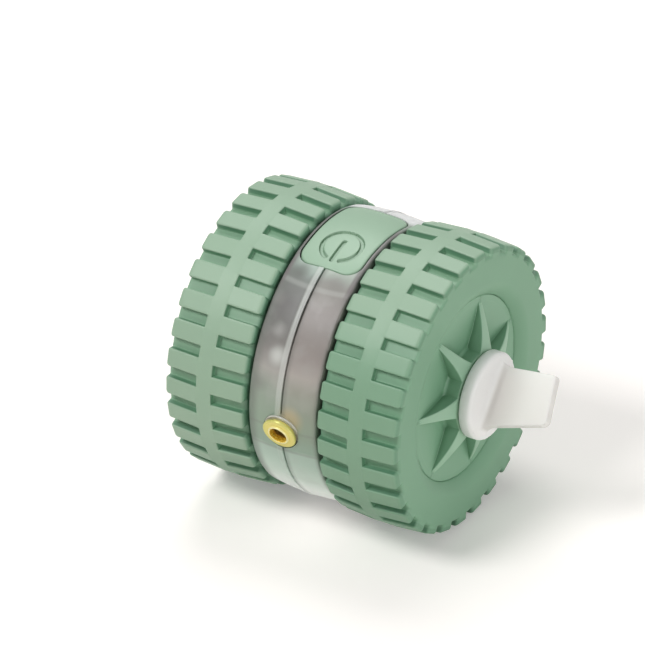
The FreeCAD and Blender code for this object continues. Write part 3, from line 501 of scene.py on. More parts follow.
# height about the axle in millimetres, colour of what stands behind the frosted wall there, with
# the wall's light and shade painted in
SHELL_RAMP = (
    (-31.0, (250, 255, 253)),
    (-25.0, (242, 251, 246)),
    (-19.0, (202, 221, 208)),
    (-13.0, (172, 196, 180)),
    (-9.8, (162, 183, 168)),
    (-8.6, (138, 161, 142)),
    (0.0, (137, 157, 137)),
    (8.0, (140, 151, 137)),
    (12.8, (160, 157, 151)),
    (17.0, (130, 126, 122)),
    (20.0, (108, 105, 101)),
    (23.5, (82, 81, 77)),
    (27.0, (76, 75, 72)),
    (29.4, (96, 98, 94)),
    (30.6, (104, 108, 103)),
    (32.0, (116, 124, 118)),
    (33.2, (140, 157, 147)),
    (34.2, (160, 180, 168)),
)
SHELL_UMBER = srgb(112, 104, 84)
SHELL_CLOUD = srgb(180, 181, 176)
SHELL_BLUSH = srgb(176, 158, 150)
SHELL_FLANK = srgb(96, 100, 93)
SHELL_CLEAR = srgb(250, 252, 251)
SHELL_PAINTED_SHADE = srgb(104, 96, 97)
SHELL_STRIP = srgb(212, 216, 210)
SHELL_PAINTED_SHADOW = srgb(84, 86, 80)
SHELL_SHADOW = srgb(112, 110, 106)
SHELL_GLOW = srgb(214, 178, 122)    # the brass ring seen through the wall
# place, radius, softness, colour, strength of the hazy spots, in millimetres about the axle; the
# light spots are painted highlights and the dark ones painted shade
SHELL_SPOTS = (
    ((-3.2, -33.8, 16.4), 1.9, 1.7, SHELL_STRIP, 0.62),
    ((-4.6, -30.8, 22.0), 1.6, 1.5, SHELL_CLOUD, 0.3),
    ((-6.4, -32.0, 18.8), 1.5, 1.4, SHELL_SHADOW, 0.45),
    ((-7.2, -35.6, 8.4), 1.8, 1.6, SHELL_SHADOW, 0.4),
    ((-5.6, -18.2, 32.6), 2.3, 1.7, SHELL_PAINTED_SHADOW, 0.6),
    ((2.6, -37.6, 1.0), 3.0, 1.8, SHELL_GLOW, 0.36),
    ((5.6, -19.8, 31.9), 2.1, 1.6, SHELL_SHADOW, 0.35),
    ((-7.6, -25.4, 27.4), 1.5, 1.2, SHELL_SHADOW, 0.5),
)
# height, half width, colour, strength of the frame's edges that show through
SHELL_LINES = (
    (-9.2, 0.3, SHELL_SHADOW, 0.3),
    (-2.6, 0.3, SHELL_SHADOW, 0.22),
    (30.9, 0.3, SHELL_STRIP, 0.17),
)

FINISHES = [
    moulded("tyre_rubber", SAGE, 0.52, painted_recess_shade=0.1, zones=tread_painted_light,
            Specular_IOR_Level=0.6, IOR=1.55),
    moulded("hub_plastic", SAGE, 0.5, 0.000008, 0.02, painted_recess_shade=0.9, zones=hub_painted_light,
            Specular_IOR_Level=0.6, IOR=1.55),
    moulded("button_plastic", BUTTON_SAGE, 0.48, 0.000006, 0.02, painted_recess_shade=1.2,
            Specular_IOR_Level=0.7, IOR=1.6),
    moulded("plug_rubber", srgb(253, 252, 249), 0.45, 0.00001, 0.01, zones=plug_painted_shade,
            Subsurface_Weight=0.7, Subsurface_Scale=0.006, Subsurface_Radius=(1, 1, 1)),
    moulded("frame_plastic", srgb(150, 143, 138), 0.5, 0.00001),
    moulded("gear_plastic", srgb(232, 229, 215), 0.35, 0.000004, 0.015),
    moulded("switch_body", srgb(52, 52, 55), 0.4),
    moulded("chip_black", srgb(34, 34, 36), 0.45),
    moulded("bezel_brass", srgb(226, 214, 118), 0.3, 0.000006, 0.03, 3000.0,
            zones=ring_zones, Metallic=0.25),
    metal("turned_brass", srgb(200, 165, 90), 0.3),
    metal("plain_steel", srgb(165, 165, 168), 0.35),
    metal("plated_steel", srgb(200, 200, 203), 0.22),
    metal("battery_foil", srgb(205, 207, 212), 0.32, 0.1, 700.0, (1, 0.3, 1)),
    moulded("collar_plastic", srgb(232, 232, 222), 0.2, 0.000003, 0.01,
            Transmission_Weight=0.4, IOR=1.5),
    moulded("led_resin", srgb(246, 244, 214), 0.15, 0.000003, 0.01,
            Transmission_Weight=0.7, IOR=1.5),
    moulded("lens_glass", srgb(235, 242, 245), 0.08, 0.000001, 0.005,
            Transmission_Weight=0.95, IOR=1.5),
    laminate(),
    frosted(),
]
SLOTS = {finish.slot: finish.material for finish in FINISHES}


def dress_nodes():
    """Every CAD node takes the procedural material of its own slot."""
    for obj in nodes.values():
        for k, held in enumerate(obj.data.materials):
            base = held.name.split(".")[0] if held else ""
            if base in SLOTS:
                obj.data.materials[k] = SLOTS[base]
            else:
                print("no finish for", obj.name, base)


# ---------------------------------------------------------------- tyres
BAND_RADIUS = 38.88
GROOVES = 30
GROOVE_HALF = 1.6
GROOVE_DEPTH = 1.9          # beside the band
FLOOR_FALL = 0.95           # the groove's extra depth at the side
OUTER_ROW_ANGLE = 5.6
LUG_EDGE = 0.38             # rounding along the lugs' edges
SHOULDER_EDGE = 1.1         # rounding over the lugs' outer ends
INNER_SHOULDER_EDGE = 1.3   # and over the ends beside the body
FLOOR_EDGE = 0.8            # rounding where a groove's floor meets the side
LUG_CORNER = 1.05           # plan rounding of the lugs' corners
WALL_SPREAD = 0.97          # share of a corner's rounding that moves the walls apart
MM_TO_DEGREES = math.degrees(1 / TYRE_RADIUS)


def half_pitch_lines():
    """Offsets from a groove's centre (mm) and heights, from floor 0 to lug 1."""
    half_pitch = math.pi * TYRE_RADIUS / GROOVES
    top = GROOVE_HALF - 0.04
    steps = np.array([0.0, 0.04, 0.11, 0.22, LUG_EDGE])
    rounding = [(top + s, 1 - drop(s, LUG_EDGE) / GROOVE_DEPTH) for s in steps]
    lines = [(0.0, 0.0), (0.75, 0.0), (1.2, 0.0), (1.4, 0.02), (1.48, 0.08)] + rounding
    lines += [(2.3, 1.0), (3.0, 1.0), (half_pitch, 1.0)]
    return np.array(lines)


LINES = half_pitch_lines()
HALF = len(LINES) - 1
CREST_LINE = 9              # where the rounding of the edge meets the crest


def pitch_pattern(shifted, spread):
    """Angles (degrees) and heights of one pitch's lines; spread moves the walls apart."""
    offset, height = LINES[:, 0], LINES[:, 1]
    full = offset[-1]
    weight = np.interp(offset, [0, 1.2, LINES[CREST_LINE, 0], full], [0, 1, 1, 0])
    moved = offset + spread * weight
    i = np.arange(2 * HALF)
    if shifted:
        m = np.abs(i - HALF)
        sign = np.sign(i - HALF)
        return (full + sign * moved[m]) * MM_TO_DEGREES, height[m]
    m = np.minimum(i, 2 * HALF - i)
    angle = np.where(i <= HALF, moved[m], 2 * full - moved[m])
    return angle * MM_TO_DEGREES, height[m]


def past_band(x):
    """0 at the band's edge, rising to 1 at the tyre's side."""
    run = TYRE_OUTER - TYRE_MIDDLE - BAND_HALF
    return np.clip((abs(x - TYRE_MIDDLE) - BAND_HALF) / run, 0, 1)


def tread_radius(x):
    """Radius of the lugs' corners; the crests between them are flat."""
    return TYRE_RADIUS - CROWN_DROP * past_band(x)


def floor_radius(x):
    return TYRE_RADIUS - GROOVE_DEPTH - FLOOR_FALL * past_band(x)


def tread_rows(sign, row, end_edge):
    """Rows of one side of the tread, from the band's edge to the side, as tuples
    (lug x, lug r, groove x, groove r, row pattern, wall spread, flatness of the crests)."""
    rows = []
    edge = TYRE_MIDDLE + sign * BAND_HALF
    for s in (LUG_EDGE + 0.3, LUG_EDGE, 0.22, 0.11, 0.04, 0.0):
        x = edge - sign * (s - 0.04)
        low = BAND_RADIUS - drop(s, LUG_EDGE)
        flat = 1 - min(1.0, s / (LUG_EDGE + 0.3))
        crest = BAND_RADIUS + (TYRE_RADIUS - BAND_RADIUS) * flat
        rows.append((x, crest, x, low, row, 0.0, flat))
    for run, lift in ((0.1, 0.16), (0.18, 0.04), (0.4, 0.0)):
        x = edge + sign * run
        rows.append((x, tread_radius(x), x, floor_radius(x) + lift, row, 0.0, 1.0))
    side = TYRE_OUTER if sign > 0 else TYRE_INNER
    for run in (7.5, 5.6, 3.8, 2.4, 1.6):
        x = side - sign * run
        rows.append((x, tread_radius(x), x, floor_radius(x), row, 0.0, 1.0))
    for run in (1.1, 0.85, 0.62, 0.42, 0.26, 0.14, 0.05, 0.0):
        x = side - sign * run
        spread = drop(run, LUG_CORNER) * WALL_SPREAD
        lug = tread_radius(x) - drop(run, end_edge)
        low = floor_radius(x) - drop(run, FLOOR_EDGE)
        rows.append((x, lug, x, low, row, spread, 1.0))
    spread = LUG_CORNER * WALL_SPREAD
    top = rows[-1][1]
    bottom = rows[-1][3]
    for t in (0.3, 0.65, 1.0):
        lug = top + (bottom - 0.12 - top) * t
        rows.append((side, lug, side, bottom - 0.12 * t, row, spread, 1 - t))
    return rows


def plain(x, r, row):
    """Row without lugs."""
    return (x, r, x, r, row, LUG_CORNER * WALL_SPREAD, 0.0)


def tyre_rows():
    """All rows, from the band over the outer side, through the bore, and back to the band."""
    rows = [(TYRE_MIDDLE, BAND_RADIUS, TYRE_MIDDLE, BAND_RADIUS, 0.5, 0.0, 0.0)]
    rows += tread_rows(1, 0.0, SHOULDER_EDGE)
    rows += [plain(TYRE_OUTER, r, 0.0) for r in (34.6, 33.4, 32.0, 30.4)]
    rows += [plain(TYRE_OUTER - 2.1 * t ** 1.85, 28.8 + (24.8 - 28.8) * t, 0.0)
             for t in np.linspace(0, 0.96, 13)]
    bore = ((31.95, 24.86), (31.8, 24.8), (30.54, 24.8), (30.54, 32.6), (12.3, 32.6),
            (12.3, 31.0), (10.9, 31.0))
    rows += [plain(x, r, 0.0) for x, r in bore]
    rows += [plain(TYRE_INNER, r, 1.0) for r in (31.2, 32.2, 33.8)]
    rows += tread_rows(-1, 1.0, INNER_SHOULDER_EDGE)[::-1]
    return rows


def tyre_shape():
    """One closed grid: every row is blended between the groove's floor and the lug's crest."""
    angles, radii, xs = [], [], []
    base = OUTER_ROW_ANGLE + np.arange(GROOVES) * 360.0 / GROOVES
    half_pitch = 180.0 / GROOVES
    lug_half = half_pitch - math.degrees(math.asin(GROOVE_HALF / TYRE_RADIUS))
    for lug_x, lug_r, low_x, low_r, row, spread, flat in tyre_rows():
        a0, h0 = pitch_pattern(False, spread)
        a1, h1 = pitch_pattern(True, spread)
        angle = a0 * (1 - row) + a1 * row
        height = h1 if row == 1.0 else h0
        groove_at = half_pitch if row == 1.0 else 0.0
        off_lug = np.abs((angle - groove_at) % (2 * half_pitch) - half_pitch)
        turn = np.radians(np.minimum(off_lug, lug_half))
        crest = math.cos(math.radians(lug_half)) / np.cos(turn)
        crest = 1 - flat * (1 - crest)
        xs.append(np.tile(low_x + (lug_x - low_x) * height, GROOVES))
        radii.append(np.tile(low_r + (lug_r * crest - low_r) * height, GROOVES))
        angles.append((base[:, None] + angle[None, :]).reshape(-1))
    points = around(np.array(xs), np.array(radii), np.array(angles))
    rows, cols = points.shape[:2]
    return Shape().add(points, grid_faces(rows, cols, True, True))


# ---------------------------------------------------------------- hubs
RIB_HALF = 0.7              # half thickness of the ribs behind each arm


def arm_half(r):
    """Half width of an arm at a radius; it flares where it meets the boss."""
    t = (ARM_TIP - min(max(r, BOSS_RADIUS), ARM_TIP)) / (ARM_TIP - BOSS_RADIUS)
    return ARM_TIP_HALF + (ARM_ROOT_HALF - ARM_TIP_HALF) * (0.62 * t + 0.38 * t ** 4)


def hub_rows():
    """(crest x, crest r, floor x, floor r) from the parting line in to the boss's face."""
    rim = [(HUB_FACE - 0.2, HUB_RADIUS), (HUB_FACE - 0.06, HUB_RADIUS - 0.05),
           (HUB_FACE, HUB_RADIUS - 0.18), (HUB_FACE, 24.3), (HUB_FACE, 23.7)]
    rows = [(x, r, x, r) for x, r in rim]
    root = BOSS_FACE - ARM_ROOT_DROP
    for r in (23.4, 23.1, 22.7, 22.1, 21.2, 20.2, 19.2, 18.2, 17.2, 16.2, 15.3, 14.5,
              13.6, 12.8, 12.3, 11.95, 11.65, 11.45):
        t = (ARM_TIP - r) / (ARM_TIP - BOSS_RADIUS)
        crest = HUB_FACE + (root - HUB_FACE) * (t + ARM_BULGE * t * (1 - t))
        rows.append((crest, r, HUB_FACE + drop(r - BOSS_RADIUS, 0.9), r))
    top = BOSS_FACE - BOSS_EDGE
    for t in (0.0, 0.35, 0.7, 1.0):
        low = HUB_FACE + 0.9 + (top - HUB_FACE - 0.9) * t
        high = root + 0.02 + (top - root - 0.02) * t
        rows.append((high, BOSS_RADIUS + 0.01 * (1 - t), low, BOSS_RADIUS))
    for t in (0.35, 0.7, 1.0):
        a = t * math.pi / 2
        low = top + BOSS_EDGE * math.sin(a)
        r = BOSS_RADIUS - BOSS_EDGE * (1 - math.cos(a))
        rows.append((low, r, low, r))
    return rows


def arm_lines(half, reach, tall):
    """Half a pitch across an arm, from its crest to the middle of the gap: angles in degrees
    and how far each line has come down, from 0 at the crest to 1 at the floor."""
    w = math.degrees(math.asin(min(0.9, half / reach)))
    e = ARM_EDGE * math.degrees(1 / reach)
    edge = min(ARM_EDGE, tall * 0.5)
    gap = 180.0 / ARMS
    before_edge = w - 2.2 * e if w > 2.4 * e else 0.7 * (w - e)
    line = [0.0, 0.5 * (w - e), before_edge, w - e, w - 0.55 * e, w - 0.2 * e,
            w, w + 0.06 * e, w + 0.5 * e, w + 1.6 * e]
    line += [w + 1.6 * e + (gap - w - 1.6 * e) * t for t in (0.12, 0.3, 0.6, 1.0)]
    down = [0.0] * 4
    down += [drop(edge * 0.55, edge), drop(edge * 0.2, edge), edge,
             tall - min(0.1, tall * 0.1)]
    down += [tall] * 6
    return np.array(line), np.clip(np.array(down) / tall, 0, 1)


def hub_shape():
    """Closed hub: the star's face, the tail's socket, and the walls and ribs behind it."""
    rows = hub_rows()
    # boss, socket, web, rim and drum, as in the CAD
    inside = [(BOSS_FACE, 9.0), (BOSS_FACE, 5.6), (BOSS_FACE - 0.1, 5.2), (BOSS_FACE - 0.35, 5.05),
              (31.1, 5.05), (30.92, 4.9), (30.92, 2.7), (30.85, 2.6), (29.67, 2.6), (29.67, 1.3),
              (27.92, 1.3), (27.92, 2.02), (24.7, 2.02), (24.6, 2.1), (24.6, 5.0), (27.92, 5.0),
              (27.92, 6.75), (34.72, 6.75), (34.72, 10.6), (29.9, 10.6), (29.9, 22.68),
              (28.42, 22.68), (28.42, 30.58), (12.4, 30.58), (12.32, 30.7), (12.32, 32.5),
              (12.4, 32.58), (30.44, 32.58), (30.52, 32.5), (30.52, 24.9), (30.62, 24.78)]
    rows += [(x, r, x, r) for x, r in inside]
    pitch = 360.0 / ARMS
    base = ARM_ANGLE + np.arange(ARMS) * pitch
    xs, rs, angles = [], [], []
    for high_x, high_r, low_x, low_r in rows:
        tall = max(high_x - low_x, 1e-6)
        line, fall = arm_lines(arm_half(high_r), max(high_r, BOSS_RADIUS), tall)
        n = len(line) - 1
        i = np.arange(2 * n)
        m = np.minimum(i, 2 * n - i)
        offset = np.where(i <= n, line[m], pitch - line[m])
        xs.append(np.tile(high_x + (low_x - high_x) * fall[m], ARMS))
        rs.append(np.tile(high_r + (low_r - high_r) * fall[m], ARMS))
        angles.append((base[:, None] + offset[None, :]).reshape(-1))
    points = around(np.array(xs), np.array(rs), np.array(angles))
    shape = Shape().add(points, grid_faces(points.shape[0], points.shape[1], True, True))
    for k in range(ARMS):
        a = math.radians(ARM_ANGLE + k * pitch)
        for x0, x1, r0, r1 in ((25.6, 28.9, 4.8, 31.4), (25.6, 30.3, 4.8, 22.9)):
            corners = ((r0, -RIB_HALF), (r1, -RIB_HALF), (r1, RIB_HALF), (r0, RIB_HALF))
            shape.loft([[(x, -r * math.cos(a) - s * math.sin(a),
                          -r * math.sin(a) + s * math.cos(a)) for r, s in corners]
                        for x in (x0, x1)])
    return shape


# ---------------------------------------------------------------- tail plug
PLUG_BACK, PLUG_FRONT = 36.87, 40.37    # faces of the disc
PLUG_STEM, PLUG_RIM = 4.9, 11.7         # radii
PLUG_TAIL = 31.32                       # inner end of the stem
BACK_EDGE, FRONT_EDGE = 0.4, 1.1
TAB_ROOT = np.array([[PLUG_FRONT, -8.2], [PLUG_FRONT, 8.2]])    # (x, place along the width)
TAB_END = np.array([[57.54, -3.04], [55.7, 10.04]])
TAB_LENGTH = 16.3
TAB_HALF = 1.5
TAB_EDGE = 0.4
TAB_FLARE = 2.5             # hollow rounding where the tab leaves the disc
TAB_CORNERS = (1.5, 1.1)    # plan rounding of the free end
TAB_TURN = math.radians(50.0)


def disc_shape():
    """Stem and disc, turned round the axle."""
    back, front, stem, rim = PLUG_BACK, PLUG_FRONT, PLUG_STEM, PLUG_RIM
    profile = [(PLUG_TAIL, 2.5), (PLUG_TAIL, stem - 0.6), (PLUG_TAIL + 0.18, stem - 0.25),
               (PLUG_TAIL + 0.6, stem), (PLUG_TAIL + 2, stem), (back - 0.25, stem),
               (back - 0.06, stem + 0.08), (back, stem + 0.3)]
    for t in np.linspace(0, 1, 6):
        a = t * math.pi / 2
        profile.append((back + BACK_EDGE - BACK_EDGE * math.cos(a),
                        rim - BACK_EDGE + BACK_EDGE * math.sin(a)))
    for t in np.linspace(0, 1, 9):
        a = t * math.pi / 2
        profile.append((front - FRONT_EDGE + FRONT_EDGE * math.sin(a),
                        rim - FRONT_EDGE + FRONT_EDGE * math.cos(a)))
    profile += [(front, 9.6), (front - 0.02, 6.0), (front - 0.02, 2.0)]
    return Shape().revolve(profile, 128, ends=True)


def tab_shape():
    """Flat pull tab with rounded edges, lofted outwards from the disc."""
    stations = [-0.5, 0.0, 0.06, 0.16, 0.32, 0.55, 0.85, 1.2, 1.6, 2.05, 2.5, 4.5, 7, 9.5, 11.5,
                12.8]
    stations += [TAB_LENGTH - s for s in (1.6, 1.3, 1.0, 0.8, 0.6, 0.4, 0.25, 0.13, 0.05, 0.0)]
    wide = np.array([0, math.cos(TAB_TURN), math.sin(TAB_TURN)])
    across = np.array([0, -math.sin(TAB_TURN), math.cos(TAB_TURN)])
    sections = []
    for s in stations:
        lo, hi = TAB_ROOT + (TAB_END - TAB_ROOT) * (s / TAB_LENGTH)
        grow = drop(max(s, 0), TAB_FLARE)
        left = TAB_LENGTH - s
        unit = (hi - lo) / np.linalg.norm(hi - lo)
        lo = lo + unit * (drop(left, TAB_CORNERS[0]) - grow)
        hi = hi - unit * (drop(left, TAB_CORNERS[1]) - grow)
        half_t = TAB_HALF + grow - drop(left, TAB_EDGE)
        e = min(TAB_EDGE, half_t * 0.98)
        width = float(np.linalg.norm(hi - lo))
        section = []
        for cu, cv, a0 in ((width - e, half_t - e, 0), (e, half_t - e, 90),
                           (e, -half_t + e, 180), (width - e, -half_t + e, 270)):
            for t in np.linspace(0, 90, 6):
                a = math.radians(a0 + t)
                p = lo + unit * (cu + e * math.cos(a))
                out = cv + e * math.sin(a)
                section.append(np.array([p[0], 0, 0]) + wide * p[1] + across * out)
        sections.append(section)
    return Shape().loft(sections)


# ---------------------------------------------------------------- body
CROWN_TOP = 37.7
CROWN_ARC = 61.0
BODY_HALF = 10.0
SHELL_WALL = 1.8


def crown(x, inset=0.0):
    """Radius of the body's surface at x."""
    x = np.asarray(x, float)
    return CROWN_TOP - inset - (CROWN_ARC - np.sqrt(CROWN_ARC ** 2 - x ** 2))


def crown_at(x, inset=0.0):
    return float(crown(x, inset))


def combine(obj, others, operation):
    """Applies booleans to obj, one tool at a time, and removes the tools."""
    for other in others:
        mod = obj.modifiers.new("cut", "BOOLEAN")
        mod.operation = operation
        mod.object = other
        mod.solver = "EXACT"
        bpy.context.view_layer.update()
        graph = bpy.context.evaluated_depsgraph_get()
        made = bpy.data.meshes.new_from_object(obj.evaluated_get(graph))
        obj.modifiers.remove(mod)
        old = obj.data
        obj.data = made
        bpy.data.meshes.remove(old)
        bpy.data.objects.remove(other)
    return obj


def beam_frame(points):
    """Maps (forward of the face, across) shapes turned about X onto the laser's beam."""
    side = np.array([1.0, 0, 0])
    rise = np.cross(side, LASER_BEAM)
    p = np.asarray(points)
    return LASER_SEAT + p[..., :1] * LASER_BEAM + p[..., 1:2] * side + p[..., 2:3] * rise


def shell_profile(bead):
    """Closed section of one half (x > 0); bead raises the edge at the seam."""
    if bead:
        lip = [(0.0, -0.2), (0.03, 0.02), (0.1, 0.14), (0.22, 0.19), (0.42, 0.17), (0.7, 0.13),
               (1.0, 0.14), (1.25, 0.16), (1.45, 0.12), (1.6, 0.03), (1.75, 0.0)]
    else:
        lip = [(0.0, -0.55), (0.2, -0.5), (0.3, -0.24), (0.4, -0.07), (0.55, -0.01), (0.8, 0.0),
               (1.5, 0.0)]
    profile = [(x, crown_at(x) + rise) for x, rise in lip]
    profile += [(x, crown_at(x)) for x in (2, 3, 4, 5, 6, 7, 8, 8.8, 9.3)]
    top = crown_at(9.3)
    for t in (0.25, 0.5, 0.75, 1.0):
        a = t * math.pi / 2
        profile.append((9.3 + 0.7 * math.sin(a), top - 0.7 * (1 - math.cos(a))))
    profile += [(BODY_HALF, 33.0), (BODY_HALF, 25.6), (10.2, 25.1), (10.6, 25.0), (22.8, 25.0),
                (23.15, 24.85), (23.3, 24.5), (23.3, 3.17), (20.9, 3.17), (20.9, 4.75),
                (21.7, 4.75), (21.7, 23.4), (8.4, 23.4), (8.4, crown_at(8.4, SHELL_WALL))]
    return profile + [(x, crown_at(x, SHELL_WALL)) for x in (6.3, 4.2, 2.1, 0.0)]


BUTTON_HALF = 8.75
BUTTON_FRONT = -15.9
BUTTON_BACK = 12.9
BUTTON_CORNER = 4.0
BUTTON_WALL = 1.8
POCKET_GAP = 0.35
SCREW_ANGLES = (35.0, 145.0, 215.0, 325.0)
SCREW_CIRCLE = 29.0
POST_RADIUS, BORE_RADIUS, HEAD_RADIUS = 2.6, 1.1, 2.2
PORT_HALF, PORT_RADIUS, PORT_HEIGHT = 4.65, 1.8, 23.3   # charging opening at the rear


def outline_half(y, gap=0.0):
    """Half width of the button's rounded plan at y."""
    r = BUTTON_CORNER + gap
    y0, y1 = BUTTON_FRONT - gap, BUTTON_BACK + gap
    half = BUTTON_HALF + gap
    reach = max(y0 + r - y, y - (y1 - r), 0.0)
    return half - r + math.sqrt(max(r * r - reach * reach, 0.0))


def plan_stations(y0, y1, corner, fine):
    """Stations along y, close together round the corners."""
    turn = [corner * (1 - math.cos(math.radians(a))) for a in np.linspace(0, 90, fine)]
    middle = np.linspace(y0 + corner, y1 - corner, 26)[1:-1]
    return [y0 + t for t in turn] + list(middle) + [y1 - t for t in reversed(turn)]


def pocket_shape(gap):
    """Cutter for the button's opening, with a round-backed floor."""
    floor = crown_at(BUTTON_HALF, BUTTON_WALL) - 0.8
    y0, y1 = BUTTON_FRONT - gap, BUTTON_BACK + gap
    sections = []
    for y in plan_stations(y0, y1, BUTTON_CORNER + gap, 12):
        half = max(outline_half(y, gap), 0.05)
        low = math.sqrt(floor ** 2 - y ** 2)
        sections.append([(-half, y, low), (half, y, low), (half, y, 45.0), (-half, y, 45.0)])
    return Shape().loft(sections)


def rod_at(shape, radius, x0, x1, place, steps=40):
    """Closed round bar along X through a (y, z) place."""
    profile = [(x0, radius), (x1, radius)]
    return shape.revolve(profile, steps, ends=True,
                         axis=lambda p: p + np.array([0.0, place[0], place[1]]))


def shell_object(name, side):
    """One half of the case as a mesh object, with its posts, openings and screw holes."""
    half = mesh_object(name, Shape().revolve(shell_profile(side < 0), 288))
    posts, cuts = Shape(), Shape()
    for angle in SCREW_ANGLES:
        place = around(0.0, SCREW_CIRCLE, angle)[1:]
        rod_at(posts, POST_RADIUS, 0.02, 8.9, place)
        rod_at(cuts, BORE_RADIUS, -1.0, 12.0, place, 24)
        if side < 0:
            rod_at(cuts, HEAD_RADIUS, 8.6, 12.0, place, 32)
    post = Shape().revolve([(-5.6, 5.1), (-2.12, 5.1)], 96, beam_frame, True)
    keep = Shape().block(0.0, 12.0, -60.0, -10.0, -20.0, 20.0, 0.01)
    wall = crown_at(0, SHELL_WALL) + 0.3
    inside = Shape().revolve([(-12.0, wall), (12.0, wall)], 192, ends=True)
    port = combine(mesh_object("port", post), [mesh_object("inside", inside)], "DIFFERENCE")
    port = combine(port, [mesh_object("keep", keep)], "INTERSECT")
    combine(half, [mesh_object("posts", posts), port], "UNION")
    stepped = [(-12.0, 3.75), (-2.12, 3.75), (-2.12, 5.05), (4.0, 5.05)]
    cuts.revolve(stepped, 96, beam_frame, True)
    pill = pill_outline(PORT_HALF, PORT_RADIUS)
    cuts.loft([[(x, y, PORT_HEIGHT + z) for x, z in pill] for y in (12.7, 45.0)])
    pocket = pocket_shape(POCKET_GAP)
    combine(half, [mesh_object("cuts", cuts), mesh_object("pocket", pocket)], "DIFFERENCE")
    if side < 0:
        mesh = half.data
        mesh.transform(Matrix.Scale(-1, 4, (1, 0, 0)))
        mesh.flip_normals()
    return half


def pill_outline(half, radius, per=9):
    """Outline of a slot with round ends."""
    out = []
    for cx, a0 in ((half - radius, -90), (-half + radius, 90)):
        for t in np.linspace(0, 180, per):
            a = math.radians(a0 + t)
            out.append((cx + radius * math.cos(a), radius * math.sin(a)))
    return out


# ---------------------------------------------------------------- power button
MARK_X = 0.4
MARK_Y = -8.2
MARK_OUTER = 5.75
MARK_INNER = 4.62
MARK_GAP = 24.0             # half of the ring's opening, in degrees
MARK_BAR = (-5.15, 1.5)     # ends of the bar, from the ring's centre
MARK_DEPTH = 0.6


def mark_depth(x, y):
    """Depth of the power mark: an open ring and a bar, with steep soft walls."""
    dx, dy = x - MARK_X, y - MARK_Y
    r = np.hypot(dx, dy)
    middle = (MARK_OUTER + MARK_INNER) / 2
    half = (MARK_OUTER - MARK_INNER) / 2
    angle = np.degrees(np.abs(np.arctan2(dx, -dy)))
    a = math.radians(MARK_GAP)
    ends = np.minimum(np.hypot(dx - middle * math.sin(a), dy + middle * math.cos(a)),
                      np.hypot(dx + middle * math.sin(a), dy + middle * math.cos(a)))
    ring = np.where(angle > MARK_GAP, np.abs(r - middle), ends)
    bar = np.hypot(dx, np.maximum(np.maximum(MARK_BAR[0] - dy, dy - MARK_BAR[1]), 0))
    away = half - np.minimum(ring, bar)
    t = np.clip((away + 0.05) / 0.14, 0, 1)
    return MARK_DEPTH * t * t * (3 - 2 * t)


def button_cap():
    """Crowned cap with rounded edges and the sunk mark, as one closed grid."""
    edge = 0.42
    fine = [0.0, 0.006, 0.016, 0.03, 0.048, 0.075]
    s = [-1 + f for f in fine] + list(np.linspace(-0.9, 0.9, 109))
    s += [1 - f for f in reversed(fine)]
    s = np.array(s)
    near = [0.0, 0.012, 0.04, 0.09, 0.16, 0.26, 0.38, 0.52]
    y = [BUTTON_FRONT + n for n in near]
    y += list(np.linspace(BUTTON_FRONT + 0.7, -2.0, 84))
    y += list(np.linspace(-1.6, BUTTON_BACK - 0.7, 32))
    y += [BUTTON_BACK - n for n in reversed(near)]
    y = np.array(y)
    half = np.array([outline_half(v) for v in y])
    xx = half[:, None] * s[None, :]
    yy = np.repeat(y[:, None], len(s), 1)
    corner = BUTTON_CORNER
    cx = np.maximum(np.abs(xx) - (BUTTON_HALF - corner), 0)
    middle = (BUTTON_FRONT + BUTTON_BACK) / 2
    long = (BUTTON_BACK - BUTTON_FRONT) / 2
    cy = np.maximum(np.abs(yy - middle) - (long - corner), 0)
    straight = np.minimum(BUTTON_HALF - np.abs(xx), long - np.abs(yy - middle))
    inside = np.where((cx > 0) & (cy > 0), corner - np.hypot(cx, cy), straight)
    inside = np.clip(inside, 0, None)
    r = crown(xx) - fillet_drop(inside, edge) - mark_depth(xx, yy)
    top = np.stack([xx, yy, np.sqrt(r ** 2 - yy ** 2)], -1)
    low = crown(xx, BUTTON_WALL)
    under = np.stack([xx, yy, np.sqrt(low ** 2 - yy ** 2)], -1)
    rows, cols = xx.shape
    shape = Shape()
    faces = grid_faces(rows, cols).tolist()
    faces += grid_faces(rows, cols, start=rows * cols)[:, ::-1].tolist()
    rim = list(range(cols)) + [j * cols + cols - 1 for j in range(1, rows)]
    rim += [(rows - 1) * cols + i for i in reversed(range(cols - 1))]
    rim += [j * cols for j in reversed(range(1, rows - 1))]
    n = rows * cols
    for k, v in enumerate(rim):
        w = rim[(k + 1) % len(rim)]
        faces.append([v, w, w + n, v + n])
    return shape.add(np.concatenate([top.reshape(-1, 3), under.reshape(-1, 3)]), faces)


def button_shape():
    """Cap, stem, cross ribs and the hooked tongues at its ends."""
    shape = button_cap()
    middle = (BUTTON_FRONT + BUTTON_BACK) / 2
    stem = [(26.34, 2.2), (36.0, 2.2)]

    def upright(p):
        return np.stack([p[..., 1], p[..., 2] + middle, p[..., 0]], -1)

    shape.revolve(stem, 40, upright, True)
    shape.block(-6.2, 6.2, middle - 0.5, middle + 0.5, 33.4, 35.9, 0.1)
    shape.block(-0.5, 0.5, middle - 9.0, middle - 0.4, 33.4, 35.0, 0.1)
    shape.block(-0.5, 0.5, middle + 0.4, middle + 9.0, 33.4, 35.0, 0.1)
    for edge, outward in ((BUTTON_FRONT, -1), (BUTTON_BACK, 1)):
        top = crown_at(5.5, SHELL_WALL) - 0.2
        sections = []
        for t in np.linspace(-1.2, 1.65, 7):
            y = edge + outward * t
            lift = 0.9 if t < 0 else 0.0
            high = math.sqrt((top + lift) ** 2 - y * y)
            low = math.sqrt((top - 0.8) ** 2 - y * y)
            sections.append([(-5.5, y, low), (5.5, y, low), (5.5, y, high), (-5.5, y, high)])
        shape.loft(sections)
    return shape


